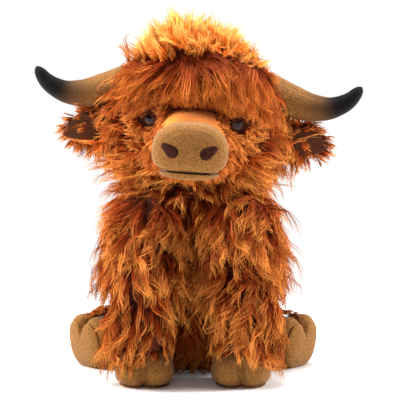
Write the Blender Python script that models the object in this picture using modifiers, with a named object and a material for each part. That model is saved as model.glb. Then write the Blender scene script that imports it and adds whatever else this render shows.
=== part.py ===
"""A sitting highland cow plush, 0.28 m tall, as the pieces that are sewn, stuffed and jointed to make it.

The toy faces -Y and sits on the floor, +Z up, with the origin in the middle of its flat seat. Its own
left side is +X. Every skin is a shell of fur fabric whose thickness counts the backing and the dense
pile; the stuffing lies inside it. A limb, an ear, the tail and the neck each turn in a round root that
sits in a socket of the piece that carries it, so a turned limb stays in touch and clear.
"""

import math

import bmesh
import bpy
from mathutils import Euler, Matrix, Vector
from mathutils.bvhtree import BVHTree

# Fits between pieces
SEWN_GAP = 0.0003
JOINT_GAP = 0.0009
OVERRUN = 0.010
CUT_REACH = 0.200

# Facets round a ball: enough that a turned one keeps clear of its socket
NECK_FACETS = 24
LIMB_FACETS = 14
SMALL_FACETS = 10

# Sides of the cages that are rounded, and steps of what is turned
BODY_SIDES = 8
SNOUT_SIDES = 10
LIMB_SIDES = 6
TOE_SIDES = 8
TURNED_STEPS = 12
MERGE_SHARE = 0.0001

# Torso, from the seat up to the neck
TORSO_HALF_WIDTH = 0.074
TORSO_HALF_DEPTH = 0.063
TORSO_HEIGHT = 0.156
TORSO_PILE = 0.0100
POUCH_HALF_WIDTH = 0.033
POUCH_HALF_DEPTH = 0.030
POUCH_HALF_HEIGHT = 0.014
POUCH_FORWARD = 0.005
POUCH_SECTION_SHARES = (
    (-1.00, 0.60, 0.60, 0.00),
    (-0.40, 1.00, 1.00, 0.00),
    (0.40, 1.00, 1.00, 0.00),
    (1.00, 0.60, 0.60, 0.00),
)
# Shares of height, half width and half depth, and how far back of centre in half depths
TORSO_SECTION_SHARES = (
    (-0.03, 0.56, 0.60, 0.20),
    (0.08, 0.77, 0.88, 0.20),
    (0.32, 0.89, 0.98, 0.17),
    (0.58, 1.01, 0.98, 0.11),
    (0.80, 0.98, 0.90, 0.08),
    (0.95, 0.78, 0.74, 0.08),
    (0.99, 0.32, 0.32, 0.07),
)

# Neck, a stuffed ball between torso and head
NECK_RADIUS = 0.042
NECK_HEIGHT = TORSO_HEIGHT
NECK_BACK = 0.004

# Head, measured from the neck's centre; the photographed pose leans and turns it a little
HEAD_LEAN = math.radians(3.5)
HEAD_TURN = math.radians(-2.5)
SKULL_HALF_WIDTH = 0.067
SKULL_HALF_DEPTH = 0.058
SKULL_HALF_HEIGHT = 0.051
SKULL_FORWARD = 0.008
SKULL_RISE = 0.056
HEAD_PILE = 0.0070
SKULL_SECTION_SHARES = (
    (-1.04, 0.56, 0.56, 0.03),
    (-0.78, 0.92, 0.92, 0.06),
    (-0.28, 1.06, 1.02, 0.07),
    (0.26, 1.00, 1.01, 0.05),
    (0.76, 0.76, 0.79, 0.00),
    (1.04, 0.38, 0.40, -0.02),
)

# Forelock, a cap of long fur over the crown and the brow
FORELOCK_HALF_WIDTH = 0.065
FORELOCK_HALF_DEPTH = 0.058
FORELOCK_HALF_HEIGHT = 0.050
FORELOCK_TOP = 0.126
FORELOCK_BACK_EDGE = 0.100
FORELOCK_TILT = math.radians(17)
FORELOCK_SECTION_SHARES = (
    (-0.62, 0.92, 0.94, -0.22),
    (-0.10, 1.06, 1.05, -0.21),
    (0.40, 0.90, 0.90, -0.17),
    (0.80, 0.63, 0.63, -0.10),
    (1.02, 0.30, 0.30, -0.06),
)

# Mane, a roll of long fur hanging from the nape and the cheeks, outside the neck's socket
MANE_ACROSS_SHARE = 0.94
MANE_BACK_SHARE = 0.97
MANE_RISE = 0.0115
MANE_HALF_THICKNESS = 0.0080
MANE_HALF_HEIGHT = 0.0160
MANE_TILT = math.radians(30)
MANE_START = math.radians(97)
MANE_STEPS = 8
MANE_END_SHARE = 0.60
MANE_END_POWER = 4

# Snout: a short-pile sleeve sewn into the face, then the velour muzzle in two panels
SLEEVE_HALF_WIDTH = 0.0325
SLEEVE_HALF_HEIGHT = 0.0265
SLEEVE_START = 0.040
SLEEVE_END = 0.076
SLEEVE_RISE = 0.032
MUZZLE_HALF_WIDTH = 0.0290
MUZZLE_HALF_HEIGHT = 0.0222
MUZZLE_LENGTH = 0.0215
MUZZLE_RISE = 0.0300
MOUTH_DROP = 0.0165
NOSTRIL_ACROSS = 0.0150
NOSTRIL_RISE = 0.0010
NOSTRIL_RADIUS = 0.0052
NOSTRIL_STITCH = 0.0010
SLEEVE_SECTION_SHARES = (
    (0.00, 1.04, 1.04, 0.14),
    (0.50, 0.98, 0.98, 0.08),
    (1.15, 0.90, 0.86, -0.06),
)
MUZZLE_SECTION_SHARES = (
    (-0.50, 0.96, 0.96, 0.00),
    (0.10, 1.00, 1.00, 0.00),
    (0.62, 1.01, 1.01, -0.02),
    (0.98, 0.86, 0.84, -0.03),
    (1.06, 0.48, 0.48, -0.03),
)
MUZZLE_SQUARENESS = 2.7
NOSTRIL_STEPS = 12
NOSTRIL_POINT_SHARE = 0.72
NOSTRIL_POINT_ANGLE = math.radians(34)
NOSTRIL_POINT_POWER = 6

# Safety eyes: a domed cap on a stem that a washer holds behind the skin
EYE_RADIUS = 0.0064
EYE_DOME = 0.0042
EYE_FLANGE = 0.0008
EYE_SINK = 0.0022
EYE_DOME_STEPS = 4
STEM_RADIUS = 0.0020
STEM_PAST_WASHER = 0.0012
WASHER_RADIUS = 0.0070
WASHER_THICKNESS = 0.0014
WASHER_SETBACK = 0.0013
EYE_OUTWARD_SHARE = 0.74
EYE_DROP_SHARE = 0.12

# Horns, from inside the skull to the tip
HORN_START = 0.034
HORN_REACH = 0.0980
HORN_RISE = 0.076
HORN_DIP = 0.0130
HORN_LIFT = 0.0200
HORN_FORWARD = 0.0090
HORN_RADIUS = 0.0150
HORN_VELOUR = 0.0016
# Shares of reach, dip, lift, forward sweep and radius
HORN_SECTION_SHARES = (
    (0.00, 0.00, 0.00, 0.00, 1.00),
    (0.20, 0.10, 0.00, 0.02, 0.99),
    (0.41, 0.62, 0.00, 0.15, 0.90),
    (0.61, 0.98, 0.00, 0.42, 0.74),
    (0.79, 1.02, 0.12, 0.68, 0.56),
    (0.92, 1.00, 0.50, 0.87, 0.41),
    (1.00, 1.00, 1.00, 1.00, 0.24),
)

# Ears, leaf shapes that fold about the seam at their root
EAR_LENGTH = 0.044
EAR_HALF_HEIGHT = 0.0125
EAR_HALF_THICKNESS = 0.0055
EAR_BALL = 0.0080
EAR_SINK = 0.0020
EAR_DROOP = math.radians(14)
EAR_LINING_SHARE = 0.30
EAR_BACK_SHARE = 0.10
EAR_DROP_SHARE = 0.22
EAR_SECTION_SHARES = (
    (0.02, 0.42, 0.80),
    (0.20, 0.70, 1.00),
    (0.46, 1.06, 1.02),
    (0.76, 0.82, 0.80),
    (1.00, 0.26, 0.34),
)

# The limbs' round roots and the sides that lie on the torso are bare backing cloth
ROOT_WALL = 0.0015

# Forelegs, hanging in front of the belly to the floor
FORELEG_RADIUS = 0.0235
FORELEG_BALL = 0.0245
FORELEG_PILE = 0.0060
SHOULDER_ACROSS_SHARE = 0.513
SHOULDER_FORWARD_SHARE = 0.743
SHOULDER_HEIGHT_SHARE = 0.79
ANKLE_FORWARD = 0.066
ANKLE_HEIGHT = 0.0250
FORELEG_SECTION_SHARES = (
    (-0.06, 0.78),
    (0.14, 1.10),
    (0.50, 1.01),
    (1.22, 0.84),
)

# Hind legs, splayed out on the floor beside the seat
HINDLEG_RADIUS = 0.0215
HINDLEG_BALL = 0.0225
HINDLEG_PILE = 0.0055
HINDLEG_LENGTH = 0.0280
HINDLEG_SPLAY = math.radians(50)
HINDLEG_SLOPE = math.radians(9)
HIP_ACROSS_SHARE = 0.671
HIP_BACK_SHARE = 0.429
HIP_HEIGHT_SHARE = 0.175
HINDLEG_SWEEP = tuple(math.radians(step) for step in (-20, -10, 0, 8))
HINDLEG_SECTION_SHARES = (
    (-0.20, 0.80),
    (0.30, 1.08),
    (1.40, 0.96),
)

# Hooves, two velour toes with a cleft and a flat sole, the same size on every leg
HOOF_HALF_WIDTH = 0.0225
HOOF_LENGTH = 0.046
HOOF_HEIGHT = 0.0290
TOE_HALF_WIDTH = 0.0135
TOE_SQUARENESS = 2.8
TOE_SPLAY = math.radians(5)
SOLE_THICKNESS = 0.0016
HOOF_FRONT_SHARE = 0.52
TOE_SECTION_SHARES = (
    (0.50, 0.66, 0.78, 0.45),
    (0.26, 1.02, 1.10, 0.46),
    (-0.24, 1.06, 1.02, 0.42),
    (-0.52, 0.66, 0.58, 0.34),
)

# Tail, hanging down the back to the floor
TAIL_RADIUS = 0.0065
TAIL_BALL = 0.0090
TAIL_LENGTH = 0.030
TAIL_STANDOFF = 0.0030
TAIL_HEIGHT_SHARE = 0.30
TAIL_LEAN = math.radians(30)
TUFT_RADIUS = 0.0120
TUFT_LENGTH = 0.032
TUFT_OVERLAP_SHARE = 0.30
TAIL_SECTION_SHARES = (
    (0.00, 0.90),
    (0.50, 1.02),
    (1.00, 0.80),
)
TUFT_SECTION_SHARES = (
    (0.00, 0.45),
    (0.24, 1.00),
    (0.70, 0.96),
    (1.00, 0.30),
)

LEFT = 1
RIGHT = -1
SIDES = {"left": LEFT, "right": RIGHT}
AXIS_X = Vector((1, 0, 0))
AXIS_Y = Vector((0, 1, 0))
AXIS_Z = Vector((0, 0, 1))

COLOURS = {
    "rust_fur": ((0.42, 0.10, 0.02), 0.95),
    "golden_fur": ((0.60, 0.22, 0.05), 0.95),
    "short_pile": ((0.45, 0.13, 0.03), 0.95),
    "tan_velour": ((0.52, 0.32, 0.13), 0.90),
    "horn_velour": ((0.45, 0.29, 0.12), 0.90),
    "ear_velour": ((0.10, 0.02, 0.01), 0.95),
    "embroidery": ((0.09, 0.02, 0.02), 0.70),
    "eye_plastic": ((0.02, 0.01, 0.01), 0.08),
    "washer_plastic": ((0.80, 0.80, 0.78), 0.50),
    "fibre": ((0.85, 0.84, 0.80), 1.00),
    "pouch_cotton": ((0.72, 0.68, 0.58), 0.95),
}


def clear_scene():
    """Empties the file's scene, so that only the toy is left in it."""
    for obj in list(bpy.data.objects):
        bpy.data.objects.remove(obj, do_unlink=True)


def new_collection(name):
    collection = bpy.data.collections.new(name)
    bpy.context.scene.collection.children.link(collection)
    return collection


def new_material(name):
    """A Principled material in the piece's colour."""
    colour, roughness = COLOURS[name]
    material = bpy.data.materials.new(name)
    material.use_nodes = True
    shader = material.node_tree.nodes["Principled BSDF"]
    shader.inputs["Base Color"].default_value = (*colour, 1)
    shader.inputs["Roughness"].default_value = roughness
    shader.inputs["Metallic"].default_value = 0
    return material


clear_scene()
TOY = new_collection("highland_cow_plush")
CUTTERS = new_collection("cutters")
MATERIALS = {name: new_material(name) for name in COLOURS}


def add_piece(name, mesh, material, parent=None, location=(0, 0, 0)):
    """A visible piece of the toy."""
    obj = bpy.data.objects.new(name, mesh)
    TOY.objects.link(obj)
    obj.parent = parent
    obj.location = location
    mesh.materials.append(MATERIALS[material])
    return obj


def add_cutter(name, mesh, parent=None, location=(0, 0, 0)):
    """A helper that shapes pieces and isn't one itself."""
    obj = bpy.data.objects.new(name, mesh)
    CUTTERS.objects.link(obj)
    obj.parent = parent
    obj.location = location
    obj.hide_render = True
    obj.display_type = "WIRE"
    return obj


def add_empty(name, location, parent=None, rotation=(0, 0, 0)):
    """The joint centre that a moving piece hangs from."""
    empty = bpy.data.objects.new(name, None)
    TOY.objects.link(empty)
    empty.parent = parent
    empty.location = location
    empty.rotation_euler = rotation
    empty.empty_display_size = OVERRUN
    return empty


def mesh_from(name, bm):
    """A smooth-shaded mesh from bm."""
    mesh = bpy.data.meshes.new(name)
    bm.to_mesh(mesh)
    bm.free()
    mesh.shade_smooth()
    return mesh


def section_points(section, sides, squareness):
    """One section of a cage, a ring about its centre.

    The ring is an ellipse, or a rounded box where squareness is over 2. It goes round the outside of the
    stated half sizes, because smoothing draws a ring of n points in to cos(pi / n) of its radius.
    """
    centre, across, up, half_across, half_up = section
    outside = 1 / math.cos(math.pi / sides)
    points = []
    for i in range(sides):
        angle = 2 * math.pi * (i + 0.5) / sides
        c, s = math.cos(angle), math.sin(angle)
        x = math.copysign(abs(c) ** (2 / squareness), c)
        y = math.copysign(abs(s) ** (2 / squareness), s)
        points.append(centre + (across * half_across * x + up * half_up * y) * outside)
    return points


def cage_mesh(name, sections, sides, squareness=2):
    """A coarse closed loft through the sections, for Subdivision Surface to round."""
    bm = bmesh.new()
    rings = [[bm.verts.new(p) for p in section_points(s, sides, squareness)] for s in sections]
    for ring, following in zip(rings, rings[1:]):
        for i in range(sides):
            j = (i + 1) % sides
            bm.faces.new((ring[i], ring[j], following[j], following[i]))
    bm.faces.new(rings[0])
    bm.faces.new(rings[-1])
    bmesh.ops.recalc_face_normals(bm, faces=bm.faces)
    return mesh_from(name, bm)


def round_off(obj, levels=1):
    """Rounds a cage, and splits its faces alike in each copy, so that grown copies stay parallel."""
    modifier = obj.modifiers.new("round", "SUBSURF")
    modifier.levels = levels
    modifier.render_levels = levels
    split = obj.modifiers.new("split", "TRIANGULATE")
    split.quad_method = "FIXED"
    return obj


def evaluated_mesh(obj):
    """A mesh of the object as its modifiers leave it."""
    bpy.context.view_layer.update()
    return bpy.data.meshes.new_from_object(obj.evaluated_get(bpy.context.evaluated_depsgraph_get()))


def opened_mesh(form, end):
    """The rounded form as a surface that is open round the middle of the end cap nearest to end."""
    bm = bmesh.new()
    bm.from_mesh(evaluated_mesh(form))
    middle = min(bm.verts, key=lambda vert: (vert.co - end).length)
    bmesh.ops.delete(bm, geom=list(middle.link_faces), context="FACES")
    return mesh_from(form.name + "_open", bm)


def swell(obj, amount):
    """Moves the surface out by amount, or in where it is negative."""
    modifier = obj.modifiers.new("swell", "DISPLACE")
    modifier.mid_level = 0
    modifier.strength = amount
    return obj


def thicken(obj, thickness):
    """Makes a shell whose outer side is the surface."""
    modifier = obj.modifiers.new("skin", "SOLIDIFY")
    modifier.thickness = thickness
    modifier.offset = -1
    return obj


def combine(obj, other, operation, solver="EXACT"):
    modifier = obj.modifiers.new(operation.lower(), "BOOLEAN")
    modifier.operation = operation
    modifier.solver = solver
    modifier.object = other
    return obj


def cut(obj, *cutters, solver="EXACT"):
    for cutter in cutters:
        combine(obj, cutter, "DIFFERENCE", solver)
    return obj


def keep_inside(obj, cutter):
    return combine(obj, cutter, "INTERSECT")


def join(obj, other, solver="EXACT"):
    return combine(obj, other, "UNION", solver)


def ball_mesh(name, radius, segments, axis):
    """A sphere whose poles lie on axis, so its facets repeat as it turns about it."""
    bm = bmesh.new()
    bmesh.ops.create_uvsphere(bm, u_segments=segments, v_segments=segments // 2, radius=radius)
    turn = AXIS_Z.rotation_difference(axis).to_matrix()
    bmesh.ops.rotate(bm, verts=bm.verts, matrix=turn)
    return mesh_from(name, bm)


def add_ball(name, radius, segments, axis, parent=None, location=(0, 0, 0)):
    return add_cutter(name, ball_mesh(name, radius, segments, axis), parent, location)


def add_half_space(name, point, normal, parent=None):
    """A block that takes away all that lies past the plane through point, on the side normal points to."""
    bm = bmesh.new()
    bmesh.ops.create_cube(bm, size=2 * CUT_REACH)
    bmesh.ops.translate(bm, verts=bm.verts, vec=AXIS_Z * CUT_REACH)
    turn = AXIS_Z.rotation_difference(normal).to_matrix()
    bmesh.ops.rotate(bm, verts=bm.verts, matrix=turn)
    return add_cutter(name, mesh_from(name, bm), parent, point)


def turned_mesh(name, profile, steps):
    """A profile of (radius, height) points turned about Z. It runs down its outer side."""
    mesh = bpy.data.meshes.new(name)
    points = [(radius, 0, height) for radius, height in profile]
    edges = [(i, i + 1) for i in range(len(points) - 1)]
    if profile[0][0] > 0:
        edges.append((len(points) - 1, 0))
    mesh.from_pydata(points, edges, [])
    guide = add_cutter(name + "_guide", mesh)
    screw = guide.modifiers.new("turn", "SCREW")
    screw.steps = steps
    screw.render_steps = steps
    screw.use_merge_vertices = True
    screw.merge_threshold = MERGE_SHARE * min(radius for radius, height in profile if radius)
    bm = bmesh.new()
    bm.from_mesh(evaluated_mesh(guide))
    bpy.data.objects.remove(guide)
    bmesh.ops.recalc_face_normals(bm, faces=bm.faces)
    return mesh_from(name, bm)


def surface_hit(form, start, direction):
    """Where a line from start leaves the form, and the outward normal there, in the form's own frame."""
    bpy.context.view_layer.update()
    tree = BVHTree.FromObject(form, bpy.context.evaluated_depsgraph_get())
    point, normal, index, distance = tree.ray_cast(start, direction)
    if normal.dot(direction) < 0:
        normal = -normal
    return point, normal


def upright_sections(shares, half_width, half_depth, height, centre):
    """Level sections stacked up Z from shares of height, half width, half depth and backward shift."""
    sections = []
    for rise_share, width_share, depth_share, back_share in shares:
        middle = centre + AXIS_Z * (height * rise_share) + AXIS_Y * (half_depth * back_share)
        sections.append((middle, AXIS_X, AXIS_Y, half_width * width_share, half_depth * depth_share))
    return sections


def limb_sections(shares, along, across, length, radius):
    """Round sections along a limb, from shares of its length and radius."""
    up = along.cross(across).normalized()
    side = up.cross(along).normalized()
    return [(along * (length * s), side, up, radius * r, radius * r) for s, r in shares]


# Torso


def torso_form(name, grow):
    """The torso's outer form, moved out by grow."""
    sections = upright_sections(
        TORSO_SECTION_SHARES, TORSO_HALF_WIDTH, TORSO_HALF_DEPTH, TORSO_HEIGHT, Vector()
    )
    form = add_cutter(name, cage_mesh(name, sections, BODY_SIDES))
    return swell(round_off(form), grow)


NECK = Vector((0, NECK_BACK, NECK_HEIGHT))
SHOULDER = Vector(
    (
        TORSO_HALF_WIDTH * SHOULDER_ACROSS_SHARE,
        -TORSO_HALF_DEPTH * SHOULDER_FORWARD_SHARE,
        TORSO_HEIGHT * SHOULDER_HEIGHT_SHARE,
    )
)
HIP = Vector(
    (
        TORSO_HALF_WIDTH * HIP_ACROSS_SHARE,
        TORSO_HALF_DEPTH * HIP_BACK_SHARE,
        TORSO_HEIGHT * HIP_HEIGHT_SHARE,
    )
)
SEAT_PLANE = add_half_space("seat_plane", Vector(), -AXIS_Z)
NECK_SOCKET = add_ball("neck_socket", NECK_RADIUS + JOINT_GAP, NECK_FACETS, AXIS_Z, None, NECK)


def mirrored(point, side):
    return Vector((point.x * side, point.y, point.z))


def torso_sockets():
    """A round hollow for the root of each leg and of the tail."""
    sockets = [NECK_SOCKET]
    for word, side in SIDES.items():
        shoulder, hip = mirrored(SHOULDER, side), mirrored(HIP, side)
        fore, hind = FORELEG_BALL + JOINT_GAP, HINDLEG_BALL + JOINT_GAP
        sockets.append(add_ball(f"shoulder_socket_{word}", fore, LIMB_FACETS, AXIS_X, None, shoulder))
        sockets.append(add_ball(f"hip_socket_{word}", hind, LIMB_FACETS, AXIS_Z, None, hip))
    sockets.append(add_ball("tail_socket", TAIL_BALL + JOINT_GAP, SMALL_FACETS, AXIS_Y, None, TAIL_ROOT))
    return sockets


def tail_root():
    """The tail's root stands just off the back, where a level line from the torso's middle leaves it."""
    start = AXIS_Z * (TORSO_HEIGHT * TAIL_HEIGHT_SHARE)
    return surface_hit(torso_form("torso_outside", 0), start, AXIS_Y)[0] + AXIS_Y * TAIL_STANDOFF


TAIL_ROOT = tail_root()


def build_torso():
    """Skin, stuffing and the bag of beans that keeps the toy sitting."""
    sockets = torso_sockets()
    top = AXIS_Z * TORSO_HEIGHT
    skin = add_piece("torso_skin", opened_mesh(torso_form("torso_whole", 0), top), "rust_fur")
    cut(thicken(skin, TORSO_PILE), SEAT_PLANE, *sockets)

    inside = torso_form("torso_inside", -(TORSO_PILE + SEWN_GAP))
    centre = Vector((0, -POUCH_FORWARD, POUCH_HALF_HEIGHT))
    sections = upright_sections(
        POUCH_SECTION_SHARES, POUCH_HALF_WIDTH, POUCH_HALF_DEPTH, POUCH_HALF_HEIGHT, centre
    )
    pouch = add_piece("bean_pouch", cage_mesh("bean_pouch", sections, BODY_SIDES), "pouch_cotton")
    keep_inside(round_off(pouch), inside)
    pouch_room = add_cutter("pouch_room", cage_mesh("pouch_room", sections, BODY_SIDES))
    swell(round_off(pouch_room), SEWN_GAP)

    stuffing = add_piece("torso_stuffing", inside.data.copy(), "fibre")
    swell(round_off(stuffing), -(TORSO_PILE + SEWN_GAP))
    cut(stuffing, pouch_room, *sockets, solver="MANIFOLD")


# Neck


def build_neck():
    """The stuffed ball that the head turns and nods on, sewn into both."""
    mesh = ball_mesh("neck_gusset", NECK_RADIUS, NECK_FACETS, AXIS_Z)
    add_piece("neck_gusset", mesh, "rust_fur", None, NECK)


# Head

HEAD = add_empty("head_joint", NECK, None, Euler((0, HEAD_LEAN, HEAD_TURN)))
SKULL_CENTRE = Vector((0, -SKULL_FORWARD, SKULL_RISE))


def skull_form(name, grow):
    """The head's outer form, moved out by grow."""
    sections = upright_sections(
        SKULL_SECTION_SHARES, SKULL_HALF_WIDTH, SKULL_HALF_DEPTH, SKULL_HALF_HEIGHT, SKULL_CENTRE
    )
    mesh = cage_mesh(name, sections, BODY_SIDES)
    return swell(round_off(add_cutter(name, mesh, HEAD)), grow)


SKULL = skull_form("skull_outside", 0)
SKULL_CLEAR = skull_form("skull_clear", SEWN_GAP)
HEAD_NECK_SOCKET = add_ball("head_neck_socket", NECK_RADIUS + JOINT_GAP, NECK_FACETS, AXIS_Z, HEAD)
STEM_LENGTH = HEAD_PILE + WASHER_SETBACK + WASHER_THICKNESS + STEM_PAST_WASHER


def eye_dome():
    """The dome's outline, from its top down to its rim."""
    dome = []
    for step in range(EYE_DOME_STEPS + 1):
        angle = math.pi / 2 * (1 - step / EYE_DOME_STEPS)
        radius = EYE_RADIUS * math.cos(angle) if step else 0
        dome.append((radius, EYE_DOME * math.sin(angle) - EYE_SINK))
    return dome


def eye_back(grow):
    """The outline under the rim, round the flange and the stem, moved out by grow."""
    flange_back = -EYE_SINK - EYE_FLANGE - grow
    stem_end = -STEM_LENGTH - grow
    return [
        (EYE_RADIUS + grow, flange_back),
        (STEM_RADIUS + grow, flange_back),
        (STEM_RADIUS + grow, stem_end),
        (0, stem_end),
    ]


def eye_seat(side):
    """Where an eye sits on the face, and which way it looks."""
    direction = Vector((EYE_OUTWARD_SHARE * side, -1, -EYE_DROP_SHARE)).normalized()
    return surface_hit(SKULL, SKULL_CENTRE, direction)


def build_eye(word, side):
    """An eye, its washer, and the cutters for their room in the skin and the stuffing."""
    seat, outward = eye_seat(side)
    top = -(HEAD_PILE + WASHER_SETBACK)
    hole = STEM_RADIUS + SEWN_GAP
    ring = [
        (hole, top),
        (WASHER_RADIUS, top),
        (WASHER_RADIUS, top - WASHER_THICKNESS),
        (hole, top - WASHER_THICKNESS),
    ]
    room = [(0, OVERRUN), (EYE_RADIUS + SEWN_GAP, OVERRUN)] + eye_back(SEWN_GAP)
    stem_end = -(STEM_LENGTH + SEWN_GAP)
    pocket_radius = WASHER_RADIUS + SEWN_GAP
    pocket = [(0, 0), (pocket_radius, 0), (pocket_radius, stem_end), (0, stem_end)]
    placed = []
    for name, profile, material in (
        (f"eye_{word}", eye_dome() + eye_back(0), "eye_plastic"),
        (f"eye_washer_{word}", ring, "washer_plastic"),
        (f"eye_room_{word}", room, None),
        (f"washer_room_{word}", pocket, None),
    ):
        mesh = turned_mesh(name, profile, TURNED_STEPS)
        if material:
            obj = add_piece(name, mesh, material, HEAD, seat)
        else:
            obj = add_cutter(name, mesh, HEAD, seat)
        obj.rotation_euler = AXIS_Z.rotation_difference(outward).to_euler()
        placed.append(obj)
    return placed[2:]


def ear_pivot(side):
    """The ear's root, just inside the side of the head below the horn."""
    direction = Vector((side, EAR_BACK_SHARE, -EAR_DROP_SHARE)).normalized()
    seat, outward = surface_hit(SKULL, SKULL_CENTRE, direction)
    return seat - outward * EAR_SINK


def build_head():
    """Head skin and stuffing with their room for eyes, ears and the neck. Gives the eyes' room."""
    eye_rooms = []
    skin_cuts = [HEAD_NECK_SOCKET]
    stuffing_cuts = [HEAD_NECK_SOCKET]
    for word, side in SIDES.items():
        skin_room, washer_room = build_eye(word, side)
        socket = add_ball(
            f"ear_socket_{word}", EAR_BALL + JOINT_GAP, SMALL_FACETS, AXIS_Z, HEAD, ear_pivot(side)
        )
        eye_rooms.append(skin_room)
        skin_cuts += [skin_room, socket]
        stuffing_cuts += [washer_room, socket]

    base = SKULL_CENTRE - AXIS_Z * SKULL_HALF_HEIGHT
    skin = add_piece("head_skin", opened_mesh(SKULL, base), "rust_fur", HEAD)
    cut(thicken(skin, HEAD_PILE), *skin_cuts)

    stuffing = add_piece("head_stuffing", SKULL.data.copy(), "fibre", HEAD)
    swell(round_off(stuffing), -(HEAD_PILE + SEWN_GAP))
    cut(stuffing, *stuffing_cuts)
    return eye_rooms


def build_forelock(horns):
    """The cap of long fur, laid over the crown and cut off above the brow and the horns."""
    centre = AXIS_Z * (FORELOCK_TOP - FORELOCK_HALF_HEIGHT)
    sections = upright_sections(
        FORELOCK_SECTION_SHARES, FORELOCK_HALF_WIDTH, FORELOCK_HALF_DEPTH, FORELOCK_HALF_HEIGHT, centre
    )
    mesh = cage_mesh("forelock", sections, BODY_SIDES)
    forelock = round_off(add_piece("forelock", mesh, "golden_fur", HEAD))
    slope = Vector((0, math.sin(FORELOCK_TILT), -math.cos(FORELOCK_TILT)))
    edge_point = AXIS_Z * FORELOCK_BACK_EDGE + AXIS_Y * FORELOCK_HALF_DEPTH
    edge = add_half_space("forelock_edge", edge_point, slope, HEAD)
    cut(forelock, SKULL_CLEAR, edge, *horns, solver="MANIFOLD")


def build_mane():
    """The roll goes round the back from side to side, tilted out at its foot and thinner at its ends."""
    half_width, half_depth = SKULL_HALF_WIDTH * MANE_ACROSS_SHARE, SKULL_HALF_DEPTH * MANE_BACK_SHARE
    sections = []
    for step in range(MANE_STEPS + 1):
        share = step / MANE_STEPS
        bearing = MANE_START + 2 * (math.pi - MANE_START) * share
        level = Vector((math.sin(bearing), -math.cos(bearing), 0))
        centre = Vector((level.x * half_width, level.y * half_depth, MANE_RISE))
        across = level * math.cos(MANE_TILT) + AXIS_Z * math.sin(MANE_TILT)
        up = AXIS_Z * math.cos(MANE_TILT) - level * math.sin(MANE_TILT)
        size = 1 - (1 - MANE_END_SHARE) * abs(2 * share - 1) ** MANE_END_POWER
        sections.append((centre, across, up, MANE_HALF_THICKNESS * size, MANE_HALF_HEIGHT * size))
    mane = round_off(add_piece("mane", cage_mesh("mane", sections, LIMB_SIDES), "rust_fur", HEAD))
    cut(mane, SKULL_CLEAR, HEAD_NECK_SOCKET)


# Snout


def snout_sections(shares, half_width, half_height, start, length, rise):
    """Upright sections along the snout, from the face towards -Y."""
    sections = []
    for along_share, width_share, height_share, rise_share in shares:
        centre = Vector((0, -(start + length * along_share), rise + half_height * rise_share))
        sections.append((centre, AXIS_X, AXIS_Z, half_width * width_share, half_height * height_share))
    return sections


def muzzle_form(name, grow):
    sections = snout_sections(
        MUZZLE_SECTION_SHARES, MUZZLE_HALF_WIDTH, MUZZLE_HALF_HEIGHT, SLEEVE_END, MUZZLE_LENGTH, MUZZLE_RISE
    )
    mesh = cage_mesh(name, sections, SNOUT_SIDES, MUZZLE_SQUARENESS)
    return swell(round_off(add_cutter(name, mesh, HEAD)), grow)


def nostril_outline(side):
    """A teardrop round a nostril's middle, with its point up and outward."""
    points = []
    for step in range(NOSTRIL_STEPS):
        angle = 2 * math.pi * step / NOSTRIL_STEPS
        toward_point = (1 + math.cos(angle - NOSTRIL_POINT_ANGLE)) / 2
        radius = NOSTRIL_RADIUS * (1 + NOSTRIL_POINT_SHARE * toward_point**NOSTRIL_POINT_POWER)
        points.append((side * radius * math.cos(angle), radius * math.sin(angle)))
    return points if side > 0 else points[::-1]


def nostril_prism(name, side):
    """The teardrop as a flat outline with depth, standing across the front of the muzzle."""
    curve = bpy.data.curves.new(name, "CURVE")
    curve.dimensions = "2D"
    curve.fill_mode = "BOTH"
    curve.extrude = MUZZLE_LENGTH / 2
    outline = nostril_outline(side)
    spline = curve.splines.new("POLY")
    spline.points.add(len(outline) - 1)
    spline.use_cyclic_u = True
    for point, (x, z) in zip(spline.points, outline):
        point.co = (x, z, 0, 1)
    guide = add_cutter(name + "_guide", curve)
    bm = bmesh.new()
    bm.from_mesh(evaluated_mesh(guide))
    bpy.data.objects.remove(guide)
    bmesh.ops.remove_doubles(bm, verts=bm.verts, dist=NOSTRIL_RADIUS * MERGE_SHARE)
    bmesh.ops.recalc_face_normals(bm, faces=bm.faces)
    bmesh.ops.rotate(bm, verts=bm.verts, matrix=Matrix.Rotation(math.radians(90), 3, "X"))
    return mesh_from(name, bm)


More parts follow.
